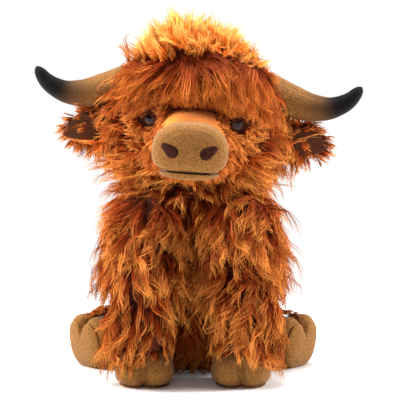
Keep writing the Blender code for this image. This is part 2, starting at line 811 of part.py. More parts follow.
def build_snout(eye_rooms):
    """Sleeve, upper and lower muzzle panels and the two stitched nostrils."""
    seam = Vector((0, -SLEEVE_END, 0))
    front_of_seam = add_half_space("front_of_seam", seam, -AXIS_Y, HEAD)
    back_of_seam = add_half_space("back_of_seam", seam - AXIS_Y * SEWN_GAP, AXIS_Y, HEAD)
    sections = snout_sections(
        SLEEVE_SECTION_SHARES,
        SLEEVE_HALF_WIDTH,
        SLEEVE_HALF_HEIGHT,
        SLEEVE_START,
        SLEEVE_END - SLEEVE_START,
        SLEEVE_RISE,
    )
    mesh = cage_mesh("snout_sleeve", sections, SNOUT_SIDES, MUZZLE_SQUARENESS)
    sleeve = round_off(add_piece("snout_sleeve", mesh, "short_pile", HEAD))
    cut(sleeve, front_of_seam, SKULL_CLEAR, *eye_rooms)

    mouth = Vector((0, 0, MUZZLE_RISE - MOUTH_DROP))
    below_mouth = add_half_space("below_mouth", mouth, -AXIS_Z, HEAD)
    above_mouth = add_half_space("above_mouth", mouth - AXIS_Z * SEWN_GAP, AXIS_Z, HEAD)
    form = muzzle_form("muzzle_form", 0)
    for name, planes in (("muzzle_upper", (below_mouth,)), ("muzzle_lower", (above_mouth,))):
        panel = round_off(add_piece(name, form.data.copy(), "tan_velour", HEAD))
        cut(panel, back_of_seam, *planes)

    stitched = muzzle_form("stitched_front", SEWN_GAP + NOSTRIL_STITCH)
    bare = muzzle_form("bare_front", SEWN_GAP)
    for word, side in SIDES.items():
        name = f"nostril_{word}"
        front = -(SLEEVE_END + MUZZLE_LENGTH)
        place = Vector((NOSTRIL_ACROSS * side, front, MUZZLE_RISE + NOSTRIL_RISE))
        pad = add_piece(name, nostril_prism(name, side), "embroidery", HEAD, place)
        cut(keep_inside(pad, stitched), bare)


# Horns


def horn_sections(side):
    sections = []
    for reach_share, dip_share, lift_share, forward_share, radius_share in HORN_SECTION_SHARES:
        x = side * (HORN_START + HORN_REACH * reach_share)
        y = -HORN_FORWARD * forward_share
        z = HORN_RISE - HORN_DIP * dip_share + HORN_LIFT * lift_share
        sections.append([Vector((x, y, z)), HORN_RADIUS * radius_share])
    rings = []
    for i, (centre, radius) in enumerate(sections):
        before, after = sections[max(i - 1, 0)][0], sections[min(i + 1, len(sections) - 1)][0]
        along = (after - before).normalized()
        up = along.cross(AXIS_Y).normalized()
        rings.append((centre, up.cross(along).normalized(), up, radius, radius))
    return rings


def build_horn(word, side):
    """A velour shell open where it is sewn to the head, with its stuffing. Gives the room that it needs."""
    sections = horn_sections(side)
    mesh = cage_mesh(f"horn_{word}", sections, LIMB_SIDES)
    whole = round_off(add_cutter(f"horn_whole_{word}", mesh, HEAD))
    skin = add_piece(f"horn_skin_{word}", opened_mesh(whole, sections[0][0]), "horn_velour", HEAD)
    cut(thicken(skin, HORN_VELOUR), SKULL_CLEAR)
    core = add_piece(f"horn_stuffing_{word}", mesh.copy(), "fibre", HEAD)
    swell(round_off(core), -(HORN_VELOUR + SEWN_GAP))
    cut(core, SKULL_CLEAR)
    room = add_cutter(f"horn_room_{word}", mesh.copy(), HEAD)
    return swell(round_off(room), SEWN_GAP)


# Ears


def build_ear(word, side):
    """A leaf in two layers: fur behind with the ball root, short velour in front."""
    pivot = ear_pivot(side)
    joint = add_empty(f"ear_joint_{word}", pivot, HEAD)
    along = Vector((side * math.cos(EAR_DROOP), 0, -math.sin(EAR_DROOP)))
    up = Vector((side * math.sin(EAR_DROOP), 0, math.cos(EAR_DROOP)))
    sections = [
        (along * (EAR_LENGTH * s), AXIS_Y, up, EAR_HALF_THICKNESS * thick, EAR_HALF_HEIGHT * high)
        for s, high, thick in EAR_SECTION_SHARES
    ]
    split = -AXIS_Y * (EAR_HALF_THICKNESS * EAR_LINING_SHARE)
    front = add_half_space(f"ear_front_{word}", split, -AXIS_Y, joint)
    back = add_half_space(f"ear_back_{word}", split - AXIS_Y * SEWN_GAP, AXIS_Y, joint)
    root = add_ball(f"ear_ball_{word}", EAR_BALL, SMALL_FACETS, AXIS_Z, joint)
    root_room = add_ball(f"ear_ball_room_{word}", EAR_BALL + SEWN_GAP, SMALL_FACETS, AXIS_Z, joint)
    mesh = cage_mesh(f"ear_{word}", sections, LIMB_SIDES)
    outer = add_piece(f"ear_outer_{word}", mesh, "rust_fur", joint)
    join(cut(round_off(outer), front), root)
    lining_mesh = cage_mesh(f"ear_lining_{word}", sections, LIMB_SIDES)
    lining = add_piece(f"ear_lining_{word}", lining_mesh, "ear_velour", joint)
    cut(round_off(lining), back, root_room)


# Hooves


def toe_mesh(name, side):
    """One of two toes side by side about a middle at the ankle, pointing to -Y, with a cleft between them.

    The ankle's plane is at 0 and the sole's ground is ANKLE_HEIGHT below it.
    """
    middle = AXIS_X * (side * (HOOF_HALF_WIDTH - TOE_HALF_WIDTH))
    back = Vector((-side * math.sin(TOE_SPLAY), math.cos(TOE_SPLAY), 0))
    across = back.cross(AXIS_Z)
    sections = []
    for back_share, width_share, height_share, rise_share in TOE_SECTION_SHARES:
        rise = HOOF_HEIGHT * rise_share - ANKLE_HEIGHT
        centre = middle + back * (HOOF_LENGTH * back_share) + AXIS_Z * rise
        half_height = HOOF_HEIGHT / 2 * height_share
        sections.append((centre, across, AXIS_Z, TOE_HALF_WIDTH * width_share, half_height))
    return cage_mesh(name, sections, TOE_SIDES, TOE_SQUARENESS)


def build_hoof(prefix, parent, floor):
    """Upper and sole of one hoof, both stuffed, hung from the ankle's empty and flat on the floor."""
    ground = -AXIS_Z * ANKLE_HEIGHT
    top = add_half_space(f"{prefix}_ankle_top", -AXIS_Z * SEWN_GAP, AXIS_Z, parent)
    sole_top = add_half_space(f"{prefix}_sole_top", ground + AXIS_Z * SOLE_THICKNESS, AXIS_Z, parent)
    upper_base = ground + AXIS_Z * (SOLE_THICKNESS + SEWN_GAP)
    below_upper = add_half_space(f"{prefix}_below_upper", upper_base, -AXIS_Z, parent)
    below_ground = add_half_space(f"{prefix}_below_ground", ground, -AXIS_Z, parent)
    right_toe = round_off(add_cutter(f"{prefix}_right_toe", toe_mesh(f"{prefix}_right_toe", RIGHT), parent))
    for name, planes in (
        (f"{prefix}_hoof", (top, below_upper)),
        (f"{prefix}_sole", (sole_top, below_ground)),
    ):
        piece = round_off(add_piece(name, toe_mesh(name, LEFT), "tan_velour", parent))
        cut(join(piece, right_toe, "MANIFOLD"), *planes, *floor, solver="MANIFOLD")


# Legs


def limb_form(name, pivot, sections, ball, hinge, sweep, shrinks, piece=None):
    """A limb's tube trimmed by the torso where it lies against it, joined to its round root.

    The first of shrinks draws the tube in, and the second the root and the trimmed side.
    """
    pile, wall = shrinks
    mesh = cage_mesh(name, sections, LIMB_SIDES)
    form = add_piece(name, mesh, piece, None, pivot) if piece else add_cutter(name, mesh, None, pivot)
    swell(round_off(form), -pile)
    cut(form, *torsos_about(name, pivot, hinge, sweep, SEWN_GAP + wall), solver="MANIFOLD")
    root = add_ball(name + "_root", ball - wall, LIMB_FACETS, hinge, None, pivot)
    return join(form, root, solver="MANIFOLD")


def torsos_about(name, pivot, hinge, sweep, grow):
    """The torso as a limb meets it at rest and as it swings, each moved out by grow."""
    torsos = []
    for step, angle in enumerate(sweep):
        form = torso_form(f"{name}_torso_{step}", grow)
        turn = Matrix.Translation(pivot) @ Matrix.Rotation(-angle, 4, hinge) @ Matrix.Translation(-pivot)
        form.matrix_world = turn
        torsos.append(form)
    return torsos


def build_leg(prefix, pivot, ankle, along, shares, length, sizes, hinge, sweep, ankle_rotation, floor):
    """Skin, stuffing, hoof and sole of one leg."""
    radius, ball, pile = sizes
    sections = limb_sections(shares, along, hinge, length, radius)
    ankle_joint = add_empty(f"{prefix}_ankle", ankle, None, ankle_rotation)
    past_ankle = add_half_space(f"{prefix}_past_ankle", Vector(), -AXIS_Z, ankle_joint)

    skin = limb_form(f"{prefix}_skin", pivot, sections, ball, hinge, sweep, (0, 0), "rust_fur")
    hollow = limb_form(f"{prefix}_hollow", pivot, sections, ball, hinge, sweep, (pile, ROOT_WALL))
    cut(skin, hollow, past_ankle, SEAT_PLANE, solver="MANIFOLD")
    inner = (pile + SEWN_GAP, ROOT_WALL + SEWN_GAP)
    stuffing = limb_form(f"{prefix}_stuffing", pivot, sections, ball, hinge, sweep, inner, "fibre")
    cut(stuffing, past_ankle, solver="MANIFOLD")
    build_hoof(prefix, ankle_joint, floor)


def build_foreleg(word, side):
    shoulder = mirrored(SHOULDER, side)
    ankle = Vector((shoulder.x, -ANKLE_FORWARD, ANKLE_HEIGHT))
    along = (ankle - shoulder).normalized()
    length = (ankle - shoulder).length
    sizes = (FORELEG_RADIUS, FORELEG_BALL, FORELEG_PILE)
    build_leg(
        f"foreleg_{word}", shoulder, ankle, along, FORELEG_SECTION_SHARES, length, sizes, -AXIS_X, (0,),
        Euler(), (),
    )


def build_hindleg(word, side):
    hip = mirrored(HIP, side)
    level = Vector((side * math.sin(HINDLEG_SPLAY), -math.cos(HINDLEG_SPLAY), 0))
    along = (level * math.cos(HINDLEG_SLOPE) - AXIS_Z * math.sin(HINDLEG_SLOPE)).normalized()
    ankle = hip + along * HINDLEG_LENGTH
    toes_up = along.cross(AXIS_Z).cross(along).normalized()
    turn = Matrix((toes_up.cross(along), -toes_up, -along)).transposed().to_euler()
    sizes = (HINDLEG_RADIUS, HINDLEG_BALL, HINDLEG_PILE)
    build_leg(
        f"hindleg_{word}", hip, ankle, along, HINDLEG_SECTION_SHARES, HINDLEG_LENGTH, sizes, -AXIS_Z * side,
        HINDLEG_SWEEP, turn, (SEAT_PLANE,),
    )


# Tail


def build_tail():
    """A fur tube with a ball root and a tuft of long hair at its end."""
    along = Vector((0, math.sin(TAIL_LEAN), -math.cos(TAIL_LEAN)))
    sections = limb_sections(TAIL_SECTION_SHARES, along, AXIS_X, TAIL_LENGTH, TAIL_RADIUS)
    tuft_start = along * (TAIL_LENGTH - TUFT_LENGTH * TUFT_OVERLAP_SHARE)
    tuft_sections = limb_sections(TUFT_SECTION_SHARES, along, AXIS_X, TUFT_LENGTH, TUFT_RADIUS)
    tuft_sections = [(tuft_start + section[0], *section[1:]) for section in tuft_sections]
    tuft_mesh = cage_mesh("tail_tuft", tuft_sections, LIMB_SIDES)
    tuft_room = add_cutter("tuft_room", tuft_mesh.copy(), None, TAIL_ROOT)
    swell(round_off(tuft_room), SEWN_GAP)
    tuft = add_piece("tail_tuft", tuft_mesh, "golden_fur", None, TAIL_ROOT)
    cut(round_off(tuft), SEAT_PLANE)
    tail = add_piece("tail", cage_mesh("tail", sections, LIMB_SIDES), "rust_fur", None, TAIL_ROOT)
    root = add_ball("tail_ball", TAIL_BALL, SMALL_FACETS, AXIS_Y, None, TAIL_ROOT)
    join(cut(round_off(tail), tuft_room), root)


def main():
    build_torso()
    build_neck()
    build_snout(build_head())
    horns = [build_horn(word, side) for word, side in SIDES.items()]
    build_forelock(horns)
    build_mane()
    for word, side in SIDES.items():
        build_ear(word, side)
        build_foreleg(word, side)
        build_hindleg(word, side)
    build_tail()
    bpy.context.view_layer.update()


main()
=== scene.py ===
"""A sitting highland cow plush: the looks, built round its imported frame.

Lengths in the tables are millimetres and are turned into metres where a mesh is made. The toy faces -Y.
"""

import bpy
import numpy as np
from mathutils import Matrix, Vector


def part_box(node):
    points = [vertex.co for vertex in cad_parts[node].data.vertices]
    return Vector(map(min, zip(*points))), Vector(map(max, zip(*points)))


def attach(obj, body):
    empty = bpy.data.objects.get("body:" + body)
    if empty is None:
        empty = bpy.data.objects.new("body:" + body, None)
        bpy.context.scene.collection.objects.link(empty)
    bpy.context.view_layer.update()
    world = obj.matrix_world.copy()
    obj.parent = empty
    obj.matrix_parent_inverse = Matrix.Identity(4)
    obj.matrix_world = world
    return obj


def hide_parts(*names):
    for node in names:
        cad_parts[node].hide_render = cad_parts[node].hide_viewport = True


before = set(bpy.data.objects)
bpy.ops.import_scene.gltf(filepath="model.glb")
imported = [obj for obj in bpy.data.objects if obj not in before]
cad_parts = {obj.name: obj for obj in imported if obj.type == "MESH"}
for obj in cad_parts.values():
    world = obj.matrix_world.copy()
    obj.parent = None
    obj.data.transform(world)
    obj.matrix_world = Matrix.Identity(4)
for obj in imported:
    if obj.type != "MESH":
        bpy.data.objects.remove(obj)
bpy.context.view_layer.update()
MM = 0.001
TAU = 2 * np.pi


# Studio
# A plain pale floor under soft light: a big lamp on each side, the left one stronger, the strongest one
# overhead and a weak one in front. The camera stands a step away, a little above the toy.

CAMERA_TARGET = (0.0058, -0.030, 0.1415)
CAMERA_DISTANCE = 1.5
CAMERA_ELEVATION = np.radians(7)
CAMERA_VIEW = 0.32
SENSOR = 36
LAMPS = (
    ("left_lamp", (-1.48, 0.00, 0.95), 0.5, 46.0, (1.0, 0.99, 0.97)),
    ("right_lamp", (1.52, 0.05, 0.85), 0.5, 32.0, (1.0, 0.99, 0.98)),
    ("top_lamp", (0.0, 0.22, 1.75), 1.0, 56.0, (1.0, 0.99, 0.97)),
    ("front_lamp", (-0.40, -1.75, 1.00), 0.26, 1.8, (1.0, 0.985, 0.96)),
)
AMBIENT = 0.135
FLOOR_SIZE = 6.0
FLOOR_LIFT = 0.03
FLOOR_EDGE = (0.22, 0.42)


def node(tree, kind, inputs=None, **settings):
    """Adds a shader node with its settings, and fills its sockets with values or with links."""
    made = tree.nodes.new(kind)
    for key, value in settings.items():
        setattr(made, key, value)
    for key, value in (inputs or {}).items():
        if isinstance(value, bpy.types.NodeSocket):
            tree.links.new(value, made.inputs[key])
        else:
            made.inputs[key].default_value = value
    return made


def add_object(name, data):
    """A new object of this data, linked into the scene."""
    obj = bpy.data.objects.new(name, data)
    bpy.context.scene.collection.objects.link(obj)
    return obj


def aim(obj, target):
    """Turns a lamp or the camera so that it looks at a point."""
    obj.rotation_euler = (Vector(target) - obj.location).to_track_quat("-Z", "Y").to_euler()


camera_data = bpy.data.cameras.new("camera")
camera_data.sensor_width = SENSOR
camera_data.lens = SENSOR * CAMERA_DISTANCE / CAMERA_VIEW
camera = add_object("camera", camera_data)
camera.location = Vector(CAMERA_TARGET) + CAMERA_DISTANCE * Vector(
    (0, -np.cos(CAMERA_ELEVATION), np.sin(CAMERA_ELEVATION))
)
aim(camera, CAMERA_TARGET)
bpy.context.scene.camera = camera

for name, place, size, power, colour in LAMPS:
    lamp = bpy.data.lights.new(name, "AREA")
    lamp.shape = "DISK"
    lamp.size = size
    lamp.energy = power
    lamp.color = colour
    lamp_object = add_object(name, lamp)
    lamp_object.location = place
    aim(lamp_object, CAMERA_TARGET)

world = bpy.data.worlds.new("studio")
bpy.context.scene.world = world
world.use_nodes = True
tree = world.node_tree
tree.nodes.clear()
seen = node(tree, "ShaderNodeBackground", {"Color": (1, 1, 1, 1), "Strength": 1.0})
lit = node(tree, "ShaderNodeBackground", {"Color": (1, 0.98, 0.95, 1), "Strength": AMBIENT})
rays = node(tree, "ShaderNodeLightPath")
blend = node(
    tree, "ShaderNodeMixShader", {0: rays.outputs["Is Camera Ray"], 1: lit.outputs[0], 2: seen.outputs[0]}
)
node(tree, "ShaderNodeOutputWorld", {"Surface": blend.outputs[0]})
bpy.context.scene.view_settings.view_transform = "Standard"

half = FLOOR_SIZE / 2
floor_mesh = bpy.data.meshes.new("floor")
floor_mesh.from_pydata(
    [(-half, -half, 0), (half, -half, 0), (half, half, 0), (-half, half, 0)], [], [(0, 1, 2, 3)]
)
floor = add_object("floor", floor_mesh)
floor_material = bpy.data.materials.new("studio_floor")
floor_material.use_nodes = True
tree = floor_material.node_tree
tree.nodes.clear()
coords = node(tree, "ShaderNodeTexCoord")
reach = node(
    tree, "ShaderNodeVectorMath", {0: coords.outputs["Object"], 1: (0.0, -0.02, 0.0)}, operation="DISTANCE"
)
far = node(
    tree,
    "ShaderNodeMapRange",
    {"Value": reach.outputs["Value"], "From Min": FLOOR_EDGE[0], "From Max": FLOOR_EDGE[1]},
    interpolation_type="SMOOTHSTEP",
)
matt = node(tree, "ShaderNodeBsdfDiffuse", {"Color": (0.92, 0.90, 0.90, 1)})
rays = node(tree, "ShaderNodeLightPath")
lift = node(
    tree, "ShaderNodeMath", {0: rays.outputs["Is Camera Ray"], 1: FLOOR_LIFT}, operation="MULTIPLY"
)
glow = node(tree, "ShaderNodeEmission", {"Color": (1, 1, 1, 1), "Strength": lift.outputs[0]})
near_floor = node(tree, "ShaderNodeAddShader", {0: matt.outputs[0], 1: glow.outputs[0]})
white = node(tree, "ShaderNodeEmission", {"Color": (1, 1, 1, 1), "Strength": 1.0})
seen_far = node(
    tree, "ShaderNodeMixShader", {0: rays.outputs["Is Camera Ray"], 1: matt.outputs[0], 2: white.outputs[0]}
)
both = node(
    tree, "ShaderNodeMixShader", {0: far.outputs[0], 1: near_floor.outputs[0], 2: seen_far.outputs[0]}
)
node(tree, "ShaderNodeOutputMaterial", {"Surface": both.outputs[0]})
floor_mesh.materials.append(floor_material)


# Torso
# A stuffed pear of knitted backing cloth, sewn up the back, under long curly synthetic fur. The fur grows
# in locks that hang down the belly and swirl to the sides.

TORSO_ROWS = (
    (0.6, 34.0, 32.0, 12.0),
    (6.0, 43.0, 41.0, 12.4),
    (14.0, 48.0, 46.0, 12.4),
    (40.0, 55.5, 51.5, 11.2),
    (64.0, 62.0, 53.5, 9.2),
    (90.5, 63.0, 51.5, 6.9),
    (112.0, 60.0, 48.0, 5.4),
    (128.0, 55.0, 43.0, 4.8),
    (142.0, 47.0, 36.0, 4.6),
    (151.0, 34.0, 28.0, 4.4),
    (154.0, 20.0, 17.0, 4.4),
)
TORSO_FUR = (
    # name, middle bearing, half span, lowest and highest root, locks, points a hair, seed
    ("torso_fur_front", 0.0, 62.0, 8, 112, 260, 7, 21),
    ("chest_fur", 0.0, 75.0, 100, 152, 280, 7, 24),
    ("torso_fur_left", 118.0, 62.0, 5, 152, 370, 6, 22),
    ("torso_fur_right", -118.0, 62.0, 5, 152, 370, 6, 23),
)
HAIRS_A_LOCK = 10
STATIONS = 7
HAIR_RADIUS = 0.28
STRAY_SHARE = 0.14


def through(table, share):
    """Rows joined by cubics: between two rows each value is the cubic with their values and with the slopes
    of the rows' neighbours. Read at shares of the first column's span, which comes back as first column."""
    rows = np.asarray(table, float)
    keys, values = rows[:, 0], rows[:, 1:]
    slopes = np.gradient(values, keys, axis=0)
    at = keys[0] + np.asarray(share, float) * (keys[-1] - keys[0])
    i = np.clip(np.searchsorted(keys, at, side="right") - 1, 0, len(keys) - 2)
    gap = (keys[i + 1] - keys[i])[..., None]
    t = (at[..., None] - keys[i][..., None]) / gap
    start = (2 * t**3 - 3 * t**2 + 1) * values[i] + (t**3 - 2 * t**2 + t) * gap * slopes[i]
    end = (3 * t**2 - 2 * t**3) * values[i + 1] + (t**3 - t**2) * gap * slopes[i + 1]
    return np.concatenate([at[..., None], start + end], axis=-1)


def unit(vectors):
    """The same directions, each with a length of 1."""
    return vectors / np.maximum(np.linalg.norm(vectors, axis=-1, keepdims=True), 1e-12)


def ring(around, half_across, half_up, square=2.0, half_down=None):
    """A superellipse's two coordinates at shares of a turn: half width times cos to the power 2/square and
    half height times sin to that power, each keeping its sign. Below the middle the height may differ."""
    angle = TAU * around
    across, up = np.cos(angle), np.sin(angle)
    tall = half_up if half_down is None else np.where(up < 0, half_down, half_up)
    power = 2.0 / square
    return half_across * np.sign(across) * np.abs(across) ** power, tall * np.sign(up) * np.abs(up) ** power


def upright(table, square=2.2):
    """A surface of level rings through rows of height, half width, half depth and y. u goes round, v up."""

    def surface(u, v):
        z, wide, deep, y = np.moveaxis(through(table, v), -1, 0)
        across, along = ring(u, wide, deep, square)
        return np.stack([across, y + along, z], axis=-1)

    return surface


def grid_of(surface, rings, columns):
    """The surface read on an even grid, rings along v and columns round u."""
    v, u = np.meshgrid(np.linspace(0, 1, rings), np.arange(columns) / columns, indexing="ij")
    return surface(u, v)


def mesh_of(name, points, faces, uv, material):
    """A mesh from points in millimetres, faces as arrays of one width each, and a bake map per point.

    The faces are turned to look outward where the volume that they close comes out negative.
    """
    corners = np.concatenate([part.ravel() for part in faces])
    second_halves = [part[:, [0, 2, 3]] for part in faces if part.shape[1] == 4]
    tris = np.concatenate([part[:, :3] for part in faces] + second_halves)
    middle = points.mean(axis=0)
    a, b, c = (points[tris[:, i]] - middle for i in range(3))
    if np.einsum("ij,ij->i", a, np.cross(b, c)).sum() < 0:
        faces = [part[:, ::-1] for part in faces]
        corners = np.concatenate([part.ravel() for part in faces])
    widths = np.concatenate([np.full(len(part), part.shape[1]) for part in faces])
    mesh = bpy.data.meshes.new(name)
    mesh.vertices.add(len(points))
    mesh.vertices.foreach_set("co", (points * MM).astype(np.float32).ravel())
    mesh.loops.add(len(corners))
    mesh.loops.foreach_set("vertex_index", corners.astype(np.int32))
    mesh.polygons.add(len(widths))
    mesh.polygons.foreach_set("loop_start", (np.cumsum(widths) - widths).astype(np.int32))
    mesh.update(calc_edges=True)
    mesh.shade_smooth()
    layer = mesh.uv_layers.new(name="OFBake")
    layer.uv.foreach_set("vector", uv[corners].astype(np.float32).ravel())
    mesh.materials.append(material)
    return mesh


def add_piece(name, mesh, body, slot, stands_for=()):
    """A piece of the toy, riding on a body of the frame."""
    obj = add_object(name, mesh)
    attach(obj, body)
    if stands_for:
        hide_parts(*stands_for)
    return obj


def add_skin(name, grid, material, body, slot, stands_for=()):
    """A closed skin over rings of points, with a pole at the mean of each end ring, as a piece of the toy."""
    rings, columns = grid.shape[:2]
    points = np.concatenate([grid.reshape(-1, 3), grid[:1].mean(axis=1), grid[-1:].mean(axis=1)])
    row, column = np.meshgrid(np.arange(rings - 1), np.arange(columns), indexing="ij")
    first = (row * columns + column).ravel()
    right = (row * columns + (column + 1) % columns).ravel()
    quads = np.stack([first, right, right + columns, first + columns], axis=1)
    edge = np.arange(columns)
    after = (edge + 1) % columns
    last = (rings - 1) * columns
    start = np.stack([np.full(columns, rings * columns), after, edge], axis=1)
    end = np.stack([np.full(columns, rings * columns + 1), last + edge, last + after], axis=1)
    turn = 0.5 - 0.5 * np.cos(TAU * (np.arange(columns) / columns) / 2)
    share = np.linspace(0.04, 0.96, rings)
    around, along = np.meshgrid(turn, share)
    uv = np.concatenate([np.stack([around.ravel(), along.ravel()], axis=1), [[0.5, 0.0], [0.5, 1.0]]])
    mesh = mesh_of(name, points, [quads, np.concatenate([start, end])], uv, material)
    add_piece(name, mesh, body, slot, stands_for)


def scatter(rng, surface, count, density):
    """Random roots on a surface, as likely as area times density says. Gives points and outward normals."""
    rows, columns, step = 96, 128, 1e-3
    v, u = np.meshgrid((np.arange(rows) + 0.5) / rows, (np.arange(columns) + 0.5) / columns, indexing="ij")

    def read(u, v):
        """The points at u and v, and their outward vectors: the cross product of a small step each way."""
        v = np.clip(v, step, 1 - step)
        across = surface(u + step, v) - surface(u - step, v)
        along = surface(u, v + step) - surface(u, v - step)
        return surface(u, v), np.cross(across, along)

    points, normals = read(u, v)
    sign = np.sign(np.einsum("ijk,ijk->", normals, points - points.mean(axis=(0, 1))))
    chance = np.linalg.norm(normals, axis=-1) * density(points, unit(sign * normals))
    pick = rng.choice(chance.size, count, p=(chance / chance.sum()).ravel())
    u = u.ravel()[pick] + rng.uniform(-0.5, 0.5, count) / columns
    v = v.ravel()[pick] + rng.uniform(-0.5, 0.5, count) / rows
    points, normals = read(u, v)
    return points, unit(sign * normals)


def locks(
    rng, root, normal, comb, length, lift=0.8, droop=0.6, curl=4.2, turns=0.95, spread=2.8,
    hairs=HAIRS_A_LOCK, floor=0.7, gathers=(0.10, 0.70), stations=STATIONS,
):
    """Hairs that grow in locks. Gives paths and tones.

    A lock's path steps along normal times lift (fading to none) + comb + down times droop (growing), and
    swings to both sides by two sine waves that grow along it. Its hairs start round its root, gather
    towards its tip by a share of their own lock, and each has a wave and a length of its own.
    """
    count = len(root)
    s = np.linspace(0, 1, stations)[None, :, None]
    down = np.array([0.0, 0.0, -1.0])
    comb = unit(comb)
    lift = np.broadcast_to(np.asarray(lift, float), count)[:, None, None]
    droop = np.broadcast_to(np.asarray(droop, float), count)[:, None, None]
    way = unit(normal[:, None] * lift * (1 - s) ** 1.5 + comb[:, None] + down * droop * s)
    step = (np.asarray(length) / (stations - 1))[:, None, None]
    steps = np.cumsum(way[:, :-1] * step, axis=1)
    guide = root[:, None] + np.concatenate([np.zeros((count, 1, 3)), steps], axis=1)
    side = unit(np.cross(comb, normal) + 1e-6)
    out = unit(np.cross(side, comb))

    which = np.repeat(np.arange(count), hairs)
    total = len(which)
    phase = rng.uniform(0, TAU, count)[which] + rng.normal(0, 0.30, total)
    rate = (turns * rng.uniform(0.6, 1.4, count))[which] * rng.normal(1, 0.06, total)
    reach = np.clip(np.asarray(length) / 34, 0.25, 1.2) * np.ones(count)
    swing = (curl * reach * rng.uniform(0.4, 1.25, count))[which]
    wave = TAU * rate[:, None, None] * s + phase[:, None, None]
    start = phase[:, None, None]
    grows = swing[:, None, None] * s**0.8
    path = guide[which]
    path = path + side[which][:, None] * grows * (np.sin(wave) - np.sin(start) * (1 - s))
    path = path + out[which][:, None] * grows * 0.6 * (np.cos(wave) - np.cos(start) * (1 - s) + 0.4)
    angle = rng.uniform(0, TAU, total)
    far_out = (spread * np.ones(count))[which] * np.sqrt(rng.uniform(0, 1, total))
    offset = (side[which] * np.cos(angle)[:, None] + comb[which] * np.sin(angle)[:, None]) * far_out[:, None]
    gather = rng.uniform(*gathers, count)[which][:, None, None]
    path = path + offset[:, None] * (1 - gather * s**0.9)
    stray = unit(rng.normal(0, 1, (total, 3)))
    size = (np.abs(rng.normal(0, 1.5, total)) * reach[which])[:, None, None] * s**1.3
    flutter = TAU * rng.uniform(0.4, 1.5, total)[:, None, None] * s + start
    path = path + stray[:, None] * size * np.sin(flutter)
    own = rng.uniform(0.66, 1.06, total)[:, None, None]
    own_root = path[:, :1]
    path = own_root + (path - own_root) * own
    path[..., 2] = np.maximum(path[..., 2], floor)
    tone = np.clip(rng.uniform(0.10, 0.90, count)[which] + rng.normal(0, 0.13, total), 0.03, 0.97)
    return path, tone


def add_fur(name, path, tone, radius, material, body, slot="rust_fur", stands_for=()):
    """Hairs as closed three-sided spindles, as one piece of the toy: at a share s of its length a hair has
    radius times (0.78 + 0.62 s - 1.1 s cubed), and a point at the tip. The map holds tone and share, and
    the tone carries painted shade where the caller has scaled it down."""
    count, stations = path.shape[:2]
    along = unit(np.gradient(path, axis=1))
    side = unit(np.cross(along, [0.31, 0.83, 0.47]))
    other = np.cross(along, side)
    s = np.linspace(0, 1, stations)
    thick = (radius * (0.78 + 0.62 * s - 1.1 * s**3))[None, :-1, None]
    corner = TAU * np.arange(3) / 3
    rings = (
        path[:, :-1, None]
        + side[:, :-1, None] * (np.cos(corner)[:, None] * thick[..., None])
        + other[:, :-1, None] * (np.sin(corner)[:, None] * thick[..., None])
    )
    per = 3 * (stations - 1) + 1
    points = np.concatenate([rings.reshape(count, -1, 3), path[:, -1:]], axis=1).reshape(-1, 3)
    base = (np.arange(count) * per)[:, None]
    row, edge = np.meshgrid(np.arange(stations - 2), np.arange(3), indexing="ij")
    a = (3 * row + edge).ravel()
    b = (3 * row + (edge + 1) % 3).ravel()
    quads = np.stack([base + a, base + b, base + b + 3, base + a + 3], axis=-1).reshape(-1, 4)
    tip = 3 * (stations - 1)
    ends = np.array([[tip - 3, tip - 2, tip], [tip - 2, tip - 1, tip], [tip - 1, tip - 3, tip], [2, 1, 0]])
    tris = (base[..., None] + ends).reshape(-1, 3)
    width = np.concatenate([np.tile([-0.008, 0.0, 0.008], stations - 1), [0.0]])
    share = np.concatenate([np.repeat(s[:-1], 3), [1.0]])
    uv = np.stack([tone[:, None] + width, np.broadcast_to(0.02 + 0.96 * share, (count, per))], axis=-1)
    mesh = mesh_of(name, points, [quads, tris], uv.reshape(-1, 2), material)
    add_piece(name, mesh, body, slot, stands_for)


def new_group(name, colours, outputs):
    """A shader group that takes these colours. Gives the group, its inputs and its outputs node."""
    group = bpy.data.node_groups.new(name, "ShaderNodeTree")
    for label, colour in colours:
        socket = group.interface.new_socket(label, in_out="INPUT", socket_type="NodeSocketColor")
        socket.default_value = (*colour, 1)
    for label, kind in outputs:
        group.interface.new_socket(label, in_out="OUTPUT", socket_type="NodeSocket" + kind)
    return group, group.nodes.new("NodeGroupInput"), group.nodes.new("NodeGroupOutput")


def placed(tree, group, colours):
    """A shader group set into a material with its own colours, by its node."""
    made = tree.nodes.new("ShaderNodeGroup")
    made.node_tree = group
    for label, colour in colours.items():
        made.inputs[label].default_value = (*colour, 1)
    return made


def colour_mix(tree, factor, first, second, blend_type="MIX"):
    """A colour mix node, whose colour sockets are the seventh and eighth, by its output socket."""
    made = tree.nodes.new("ShaderNodeMix")
    made.data_type = "RGBA"
    made.blend_type = blend_type
    for index, value in ((0, factor), (6, first), (7, second)):
        if isinstance(value, bpy.types.NodeSocket):
            tree.links.new(value, made.inputs[index])
        else:
            made.inputs[index].default_value = value
    return made.outputs[2]


def ranged(tree, value, low, high, to_low=0.0, to_high=1.0):
    """A value eased from one span onto another, by its output socket."""
    made = node(
        tree,
        "ShaderNodeMapRange",
        {"Value": value, "From Min": low, "From Max": high, "To Min": to_low, "To Max": to_high},
        interpolation_type="SMOOTHSTEP",
    )
    return made.outputs[0]


def noise(tree, scale, detail=2.0, roughness=0.5):
    """A noise over Object coordinates, by its output socket."""
    coords = node(tree, "ShaderNodeTexCoord")
    inputs = {"Vector": coords.outputs["Object"], "Scale": scale, "Detail": detail, "Roughness": roughness}
    return node(tree, "ShaderNodeTexNoise", inputs).outputs[0]


def bake_map(tree):
    """The piece's own map: the sockets of its two coordinates."""
    baked = node(tree, "ShaderNodeUVMap", uv_map="OFBake")
    split = node(tree, "ShaderNodeSeparateXYZ", {0: baked.outputs[0]})
    return split.outputs["X"], split.outputs["Y"]
